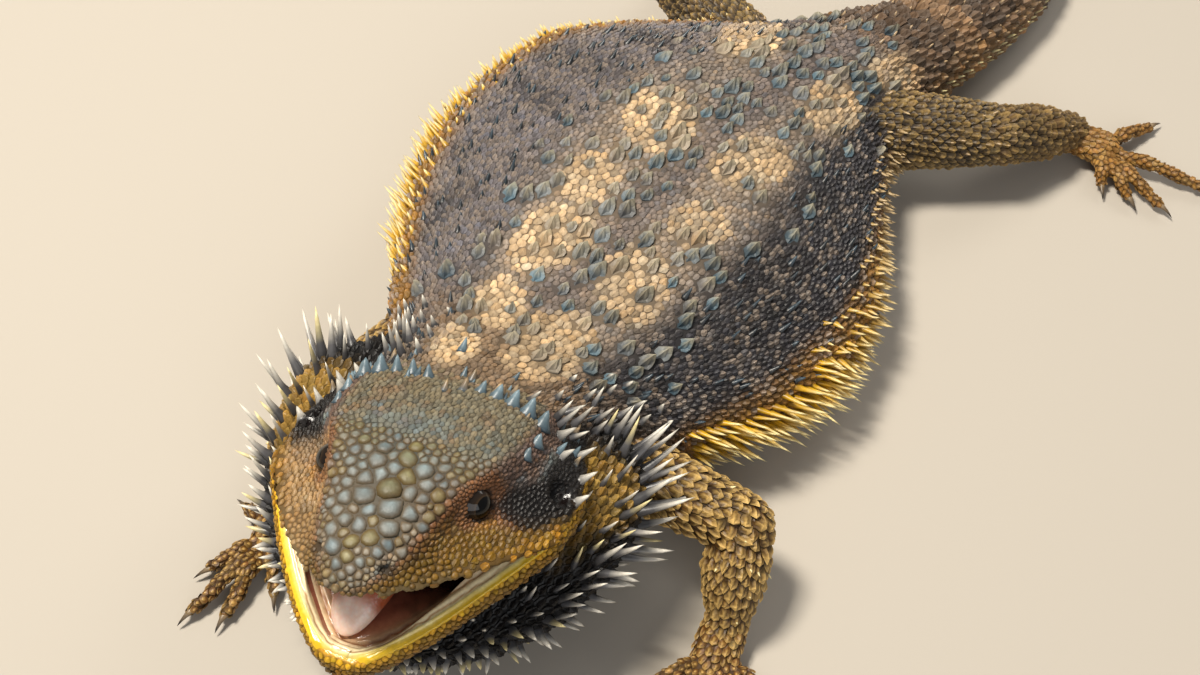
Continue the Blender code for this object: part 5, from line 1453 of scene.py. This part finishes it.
TAIL_ROWS = ((-6, 4.2, 0.8), (4, 4.0, 1.0), (16, 4.6, 0.75), (34, 5.0, 0.6), (56, 5.4, 0.6),
             (78, 5.6, 0.55), (102, 5.6, 0.55), (124, 5.4, 0.6), (146, 5.0, 0.6), (164, 4.6, 0.75),
             (176, 4.0, 1.0), (186, 4.2, 0.8))
TAIL_SPINE_LENGTH = ((92, 3.8), (160, 3.0), (230, 2.2), (327, 0.9))
TAIL_SPINE_WIDTH = ((92, 2.1), (160, 1.8), (230, 1.4), (327, 0.8))
tail_spines = []
for degrees, gap, factor in TAIL_ROWS:
    y = TRUNK_END - 4 + rng.uniform(0, 3)
    while y < TAIL_END - 8:
        angle = math.radians(degrees + rng.uniform(-2, 2))
        root = trunk_point(y, angle, -0.3)
        _, level, back = trunk_frame(y)
        outward = level * math.cos(angle) + np.array([0, 0, 0.25 + 0.7 * math.sin(angle)])
        end = SPINE_COLOURS["sand"] if 10 < degrees < 170 else SPINE_COLOURS["cream"]
        length = smooth(TAIL_SPINE_LENGTH, y)
        tail_spines.append((root, unit(outward) + back * 1.1, length * factor * rng.uniform(0.85, 1.0),
                            smooth(TAIL_SPINE_WIDTH, y), (0, 0, 0.05), SPINE_COLOURS["brown"],
                            end * rng.uniform(0.7, 1.0)))
        y += gap * (0.5 + 0.5 * length / TAIL_SPINE_LENGTH[0][1]) * rng.uniform(0.9, 1.1)

# The small black spines on the flanks end in blue: partly their own blue-black, partly painted highlight.
back_spines = []
on_side = trunk_top & (side_share > 0.42) & (centres[:, 1] < TRUNK_END)
for k in np.flatnonzero(on_side & (rng.random(len(centres)) < 0.055)):
    back_spines.append((centres[k], normals[k] * 0.75 + along[k] * 0.8, rng.uniform(1.8, 3.6),
                        rng.uniform(1.5, 2.3), (0, 0, 0.05), SPINE_COLOURS["black"],
                        SPINE_COLOURS["blue"] * rng.uniform(0.2, 1.2)))
limb_spines = []
limb_lengths = ("arm_upper", "arm_lower", "leg_upper", "leg_lower")
on_limb = np.any([np.char.startswith(kind, name) for name in limb_lengths], axis=0)
for k in np.flatnonzero(on_limb & (normals[:, 2] > -0.3) & (rng.random(len(centres)) < 0.11)):
    end = SPINE_COLOURS["cream"] if kind[k].startswith("arm") else SPINE_COLOURS["sand"]
    limb_spines.append((centres[k], normals[k] * 0.75 + along[k] * 0.8, rng.uniform(1.6, 2.7),
                        rng.uniform(1.3, 1.9), (0, 0, 0.05), SPINE_COLOURS["brown"], end))

horn = scaly_material("pale_horn_spines", 0.38, 0.6, 0.05, 0.5)
SPINE_SETS = (("fringe_spines", fringe, "body_scales"), ("beard_spines", beard_spines, "beard_scales"),
              ("crown_and_neck_spines", crown, "head_scales"), ("tail_spines", tail_spines, "body_scales"),
              ("back_spines", back_spines, "body_scales"), ("limb_spines", limb_spines, "limb_scales"))
for name, spines, slot in SPINE_SETS:
    piece = spine_mesh(name, spines)
    piece.data.materials.append(horn)
    hold(piece, slot)
    print(name, len(spines))

# The eyes: glass balls set in the sockets, with a clear front that bulges a little. The iris behind it is a
# dark brown ring, slightly paler at the pupil's edge.
FRONT_FROM, FRONT_HALF, FRONT_BULGE = 0.72, 0.69, 0.5
for side_sign, name in ((1, "eye_left"), (-1, "eye_right")):
    centre = head_point(EYE_AT[0], side_sign * EYE_AT[1], EYE_AT[2])
    look = eye_look(side_sign)
    bpy.ops.mesh.primitive_uv_sphere_add(segments=64, ring_count=48, radius=EYE_RADIUS * MM)
    eye = bpy.context.object
    eye.name = "glass_" + name
    for vert in eye.data.vertices:
        if vert.co.z > FRONT_FROM * EYE_RADIUS * MM:
            from_axis = math.hypot(vert.co.x, vert.co.y) / (FRONT_HALF * EYE_RADIUS * MM)
            vert.co.z += FRONT_BULGE * MM * (1 - from_axis**2)
    turn = Vector(look).to_track_quat("Z", "Y").to_matrix().to_4x4()
    eye.data.transform(Matrix.Translation(Vector(centre * MM)) @ turn)
    eye.data.shade_smooth()
    glass, tree, shader = new_material("painted_glass_" + name)
    place = add_node(tree, "ShaderNodeTexCoord")
    toward = add_node(tree, "ShaderNodeVectorMath", {"operation": "SUBTRACT"}, Vector=(place, "Object"))
    toward.inputs[1].default_value = centre * MM
    ahead = add_node(tree, "ShaderNodeVectorMath", {"operation": "DOT_PRODUCT"}, Vector=(toward, "Vector"))
    ahead.inputs[1].default_value = look / (EYE_RADIUS * MM)
    iris = add_node(tree, "ShaderNodeValToRGB", Fac=(ahead, "Value"))
    ramp = iris.color_ramp
    ramp.elements[0].position = 0.62
    ramp.elements[0].color = (*linear("#15100c"), 1)
    ramp.elements[1].position = 1.0
    ramp.elements[1].color = (*linear("#020202"), 1)
    for position, tone in ((0.74, "#1d1611"), (0.84, "#241b13"), (0.9, "#35281a"), (0.915, "#050403")):
        ramp.elements.new(position).color = (*linear(tone), 1)
    link_inputs(tree, shader, Base_Color=(iris, "Color"))
    # Polished glass: small sharp reflections over a colour that stays dark.
    shader.inputs["Roughness"].default_value = 0.08
    shader.inputs["Specular IOR Level"].default_value = 0.22
    shader.inputs["Coat Weight"].default_value = 0.25
    shader.inputs["Coat Roughness"].default_value = 0.02
    eye.data.materials.append(glass)
    hold(eye, "eye", name)

# The tongue: a thick pink pad of resin laid on the floor of the mouth. It is finely pimpled and wet. Toward
# the rear it turns red-brown, partly its own colour and partly painted shadow, and down the throat it is
# painted near black: painted shade.
TONGUE_FRONT, TONGUE_BACK, TONGUE_HALF, TONGUE_HIGH = 46.5, 20.0, 6.2, 3.9
TONGUE_ASIDE = -2.2
bpy.ops.mesh.primitive_uv_sphere_add(segments=64, ring_count=40, radius=1.0)
tongue = bpy.context.object
tongue.name = "tongue_pad"
for vert in tongue.data.vertices:
    t = 0.5 + 0.5 * vert.co.x
    f = TONGUE_BACK + (TONGUE_FRONT - TONGUE_BACK) * t
    up_share = vert.co.z
    middle = 1 - 0.12 * math.exp(-((vert.co.y / 0.12) ** 2)) if up_share > 0 else 1
    height = up_share * TONGUE_HIGH * middle if up_share > 0 else up_share * 0.5
    up = jaw_rim(f) - FLOOR_DEPTH + 1.5 + height
    aside = JAW_SHIFT + TONGUE_ASIDE * step(np.array(f), 26, 42)
    vert.co = Vector(head_point(f, aside + vert.co.y * TONGUE_HALF, up) * MM)
face_outward(tongue.data)
tongue.data.shade_smooth()
tongue_points = np.array([vert.co[:] for vert in tongue.data.vertices]) / MM
tongue_f = head_frame(tongue_points)[0]
# Toward the rear the tongue turns red-brown, partly its own colour and partly painted shadow of the head;
# down the throat it is painted near black as painted shade.
redder_and_shaded = 1 - step(tongue_f + 3 * (noise(tongue_points, 2.5, 31) - 0.5), 38, 43)
tongue_colour = blend(np.array(linear("#ffe6d8")), np.array(linear("#b0603e")), redder_and_shaded)
tongue_colour = blend(tongue_colour, COLOURS["mouth_depth_shade"], 1 - step(tongue_f, 32, 39))
paint(tongue.data, tongue_colour)
flesh, tree, shader = new_material("wet_tongue_resin")
place = add_node(tree, "ShaderNodeTexCoord")
pimples = add_node(tree, "ShaderNodeTexVoronoi", {"Scale": 1 / (0.8 * MM)}, Vector=(place, "Object"))
pink = add_node(tree, "ShaderNodeValToRGB", Fac=(pimples, "Distance"))
pink.color_ramp.elements[0].color = (1, 1, 1, 1)
pink.color_ramp.elements[1].color = (0.98, 0.85, 0.78, 1)
tongue_paint = add_node(tree, "ShaderNodeAttribute", {"attribute_name": "ColourAndPaintedLight"})
stained = add_node(tree, "ShaderNodeVectorMath", {"operation": "MULTIPLY"}, Vector=(tongue_paint, "Color"))
tree.links.new(pink.outputs["Color"], stained.inputs[1])
raised = {"Strength": 0.5, "Distance": 0.1 * MM, "invert": True}
bumps = add_node(tree, "ShaderNodeBump", raised, Height=(pimples, "Distance"))
link_inputs(tree, shader, Base_Color=(stained, "Vector"), Normal=(bumps, "Normal"))
# Wet resin: a soft gloss, and a little light inside that keeps the pink alive.
shader.inputs["Roughness"].default_value = 0.22
shader.inputs["Subsurface Weight"].default_value = 0.15
shader.inputs["Subsurface Scale"].default_value = 0.002
tongue.data.materials.append(flesh)
hold(tongue, "mouth", "tongue")

# The gums: a thin lining of resin laid in the lower jaw. Fine ridges run round it beside the yellow rim,
# painted cream, brown and pink under a wet coat, and down the throat it is painted near black: painted shade
# in the depth of the mouth.
GUM_TONES = ((1.5, "#e9bf2e"), (2.2, "#f2dc82"), (2.7, "#f4e6b4"), (3.05, "#a87848"), (3.4, "#efdfb4"),
             (4.3, "#ead0a0"), (4.7, "#9c6c40"), (5.1, "#e8d2ac"), (6.2, "#d9b48c"), (6.6, "#94603c"),
             (7.2, "#dcb890"), (8.8, "#b5785a"), (11, "#8a4c3a"))
GUM_START, GUM_END, GUM_STATIONS, GUM_ACROSS = 6.0, CHIN - 1.4, 190, 150


def gum_section(f):
    """The jaw's inner contour from the middle out to the lip, as pairs of side and height."""
    out, rim = jaw_out(f), jaw_rim(f)
    corners = (*mouth_floor(f, out, rim), (out - 0.27 * out, rim), (out - min(1.25, 0.14 * out), rim - 0.2))
    return np.array(curve_through([(p[0], p[1], 0) for p in corners], GUM_ACROSS // 2))[:, :2]


outline_f = np.concatenate([np.linspace(4, 48, 60), CHIN - np.linspace(5.7, 0, 60) ** 2 / 5.7])
outline_plan = np.array([(f, jaw_out(f)) for f in outline_f])
top_rows, low_rows, rim_gaps = [], [], []
for f in GUM_START + (GUM_END - GUM_START) * np.sin(np.linspace(0, 1, GUM_STATIONS) * np.pi / 2):
    half = gum_section(f)
    gap = np.min(np.hypot(f - outline_plan[:, 0], half[:, :1] - outline_plan[:, 1]), axis=1)
    ridge = 0.34 * np.sin(np.pi * (gap - 3.05) / 1.75) ** 2 * step(gap, 1.9, 2.3) * (1 - step(gap, 7.4, 9))
    full = np.concatenate([half[::-1] * (-1, 1), half[1:]])
    rise = np.concatenate([ridge[::-1], ridge[1:]])
    shift = jaw_shift(f)
    cover = 0.3 - 1.3 * float(step(np.array(f), GUM_END - 1.6, GUM_END))
    top_rows.append([head_point(f, p[0] + shift, p[1] + cover + r) for p, r in zip(full, rise)])
    low_rows.append([head_point(f, p[0] * 0.985 + shift, p[1] - 1.7) for p in full])
    rim_gaps.append(np.concatenate([gap[::-1], gap[1:]]))
gum_wide = len(top_rows[0])
gum_points = np.array([top + low[::-1] for top, low in zip(top_rows, low_rows)])
gum_ring = gum_wide * 2
last_ring = (GUM_STATIONS - 1) * gum_ring
gum_faces = []
for low in range(0, last_ring, gum_ring):
    high = low + gum_ring
    for k in range(gum_ring):
        m = (k + 1) % gum_ring
        gum_faces.append((low + k, low + m, high + m, high + k))
for first, ends in ((0, 1), (last_ring, -1)):
    for k in range(gum_wide - 1):
        quad = (first + k, first + k + 1, first + gum_ring - 2 - k, first + gum_ring - 1 - k)
        gum_faces.append(quad[::-ends])
gum_mesh = bpy.data.meshes.new("gum_lining")
gum_mesh.from_pydata((gum_points.reshape(-1, 3) * MM).tolist(), [], gum_faces)
gums = bpy.data.objects.new("gum_lining", gum_mesh)
bpy.context.scene.collection.objects.link(gums)
gap = np.array(rim_gaps)
gap = np.concatenate([gap, gap[:, ::-1]], axis=1).ravel()
gum_flat = gum_points.reshape(-1, 3)
mottle = noise(gum_flat, 1.6, 23) - 0.5
tones = [[(gap_at, linear(tone)[k]) for gap_at, tone in GUM_TONES] for k in range(3)]
gum_colour = np.stack([keyed(channel, gap + 0.5 * mottle) for channel in tones], axis=1)
gum_f = head_frame(gum_flat)[0]
# Down the throat the lining is painted near black: painted shade in the depth of the mouth.
painted_throat_shade = 1 - step(gum_f + 4 * mottle, 30, 43)
gum_colour = blend(gum_colour, COLOURS["mouth_depth_shade"], painted_throat_shade * step(gap, 5.5, 8.5))
paint(gum_mesh, gum_colour, np.full(len(gum_flat), 0.8))
face_outward(gum_mesh)
gum_mesh.shade_smooth()
gum_mesh.materials.append(scaly_material("wet_gum_resin", 0.4, 0.5, 0.05, 0.5))
hold(gums, "mouth")

# The claws: curved cones of dark glossy horn, one set in the end of each toe and turned down to the floor.
# They are dulled and paler at the quick.
for limb_name, limb in LIMBS.items():
    for k, (places_of_toe, ahead) in enumerate(limb_toes(limb)):
        root = places_of_toe[-1] - ahead * 0.3 + np.array([0, 0, 0.25])
        claw = spine_mesh(f"curved_claw_{limb_name}_{k + 1}",
                          [(root, unit(ahead + np.array([0, 0, 0.12])), 4.4, 1.9, (0, 0, -0.42),
                            SPINE_COLOURS["sand"] * 0.55, SPINE_COLOURS["black"] * 1.6)], on_hide=False)
        claw.data.materials.append(horn)
        hold(claw, "claw", f"claw_{limb_name}_{k + 1}")
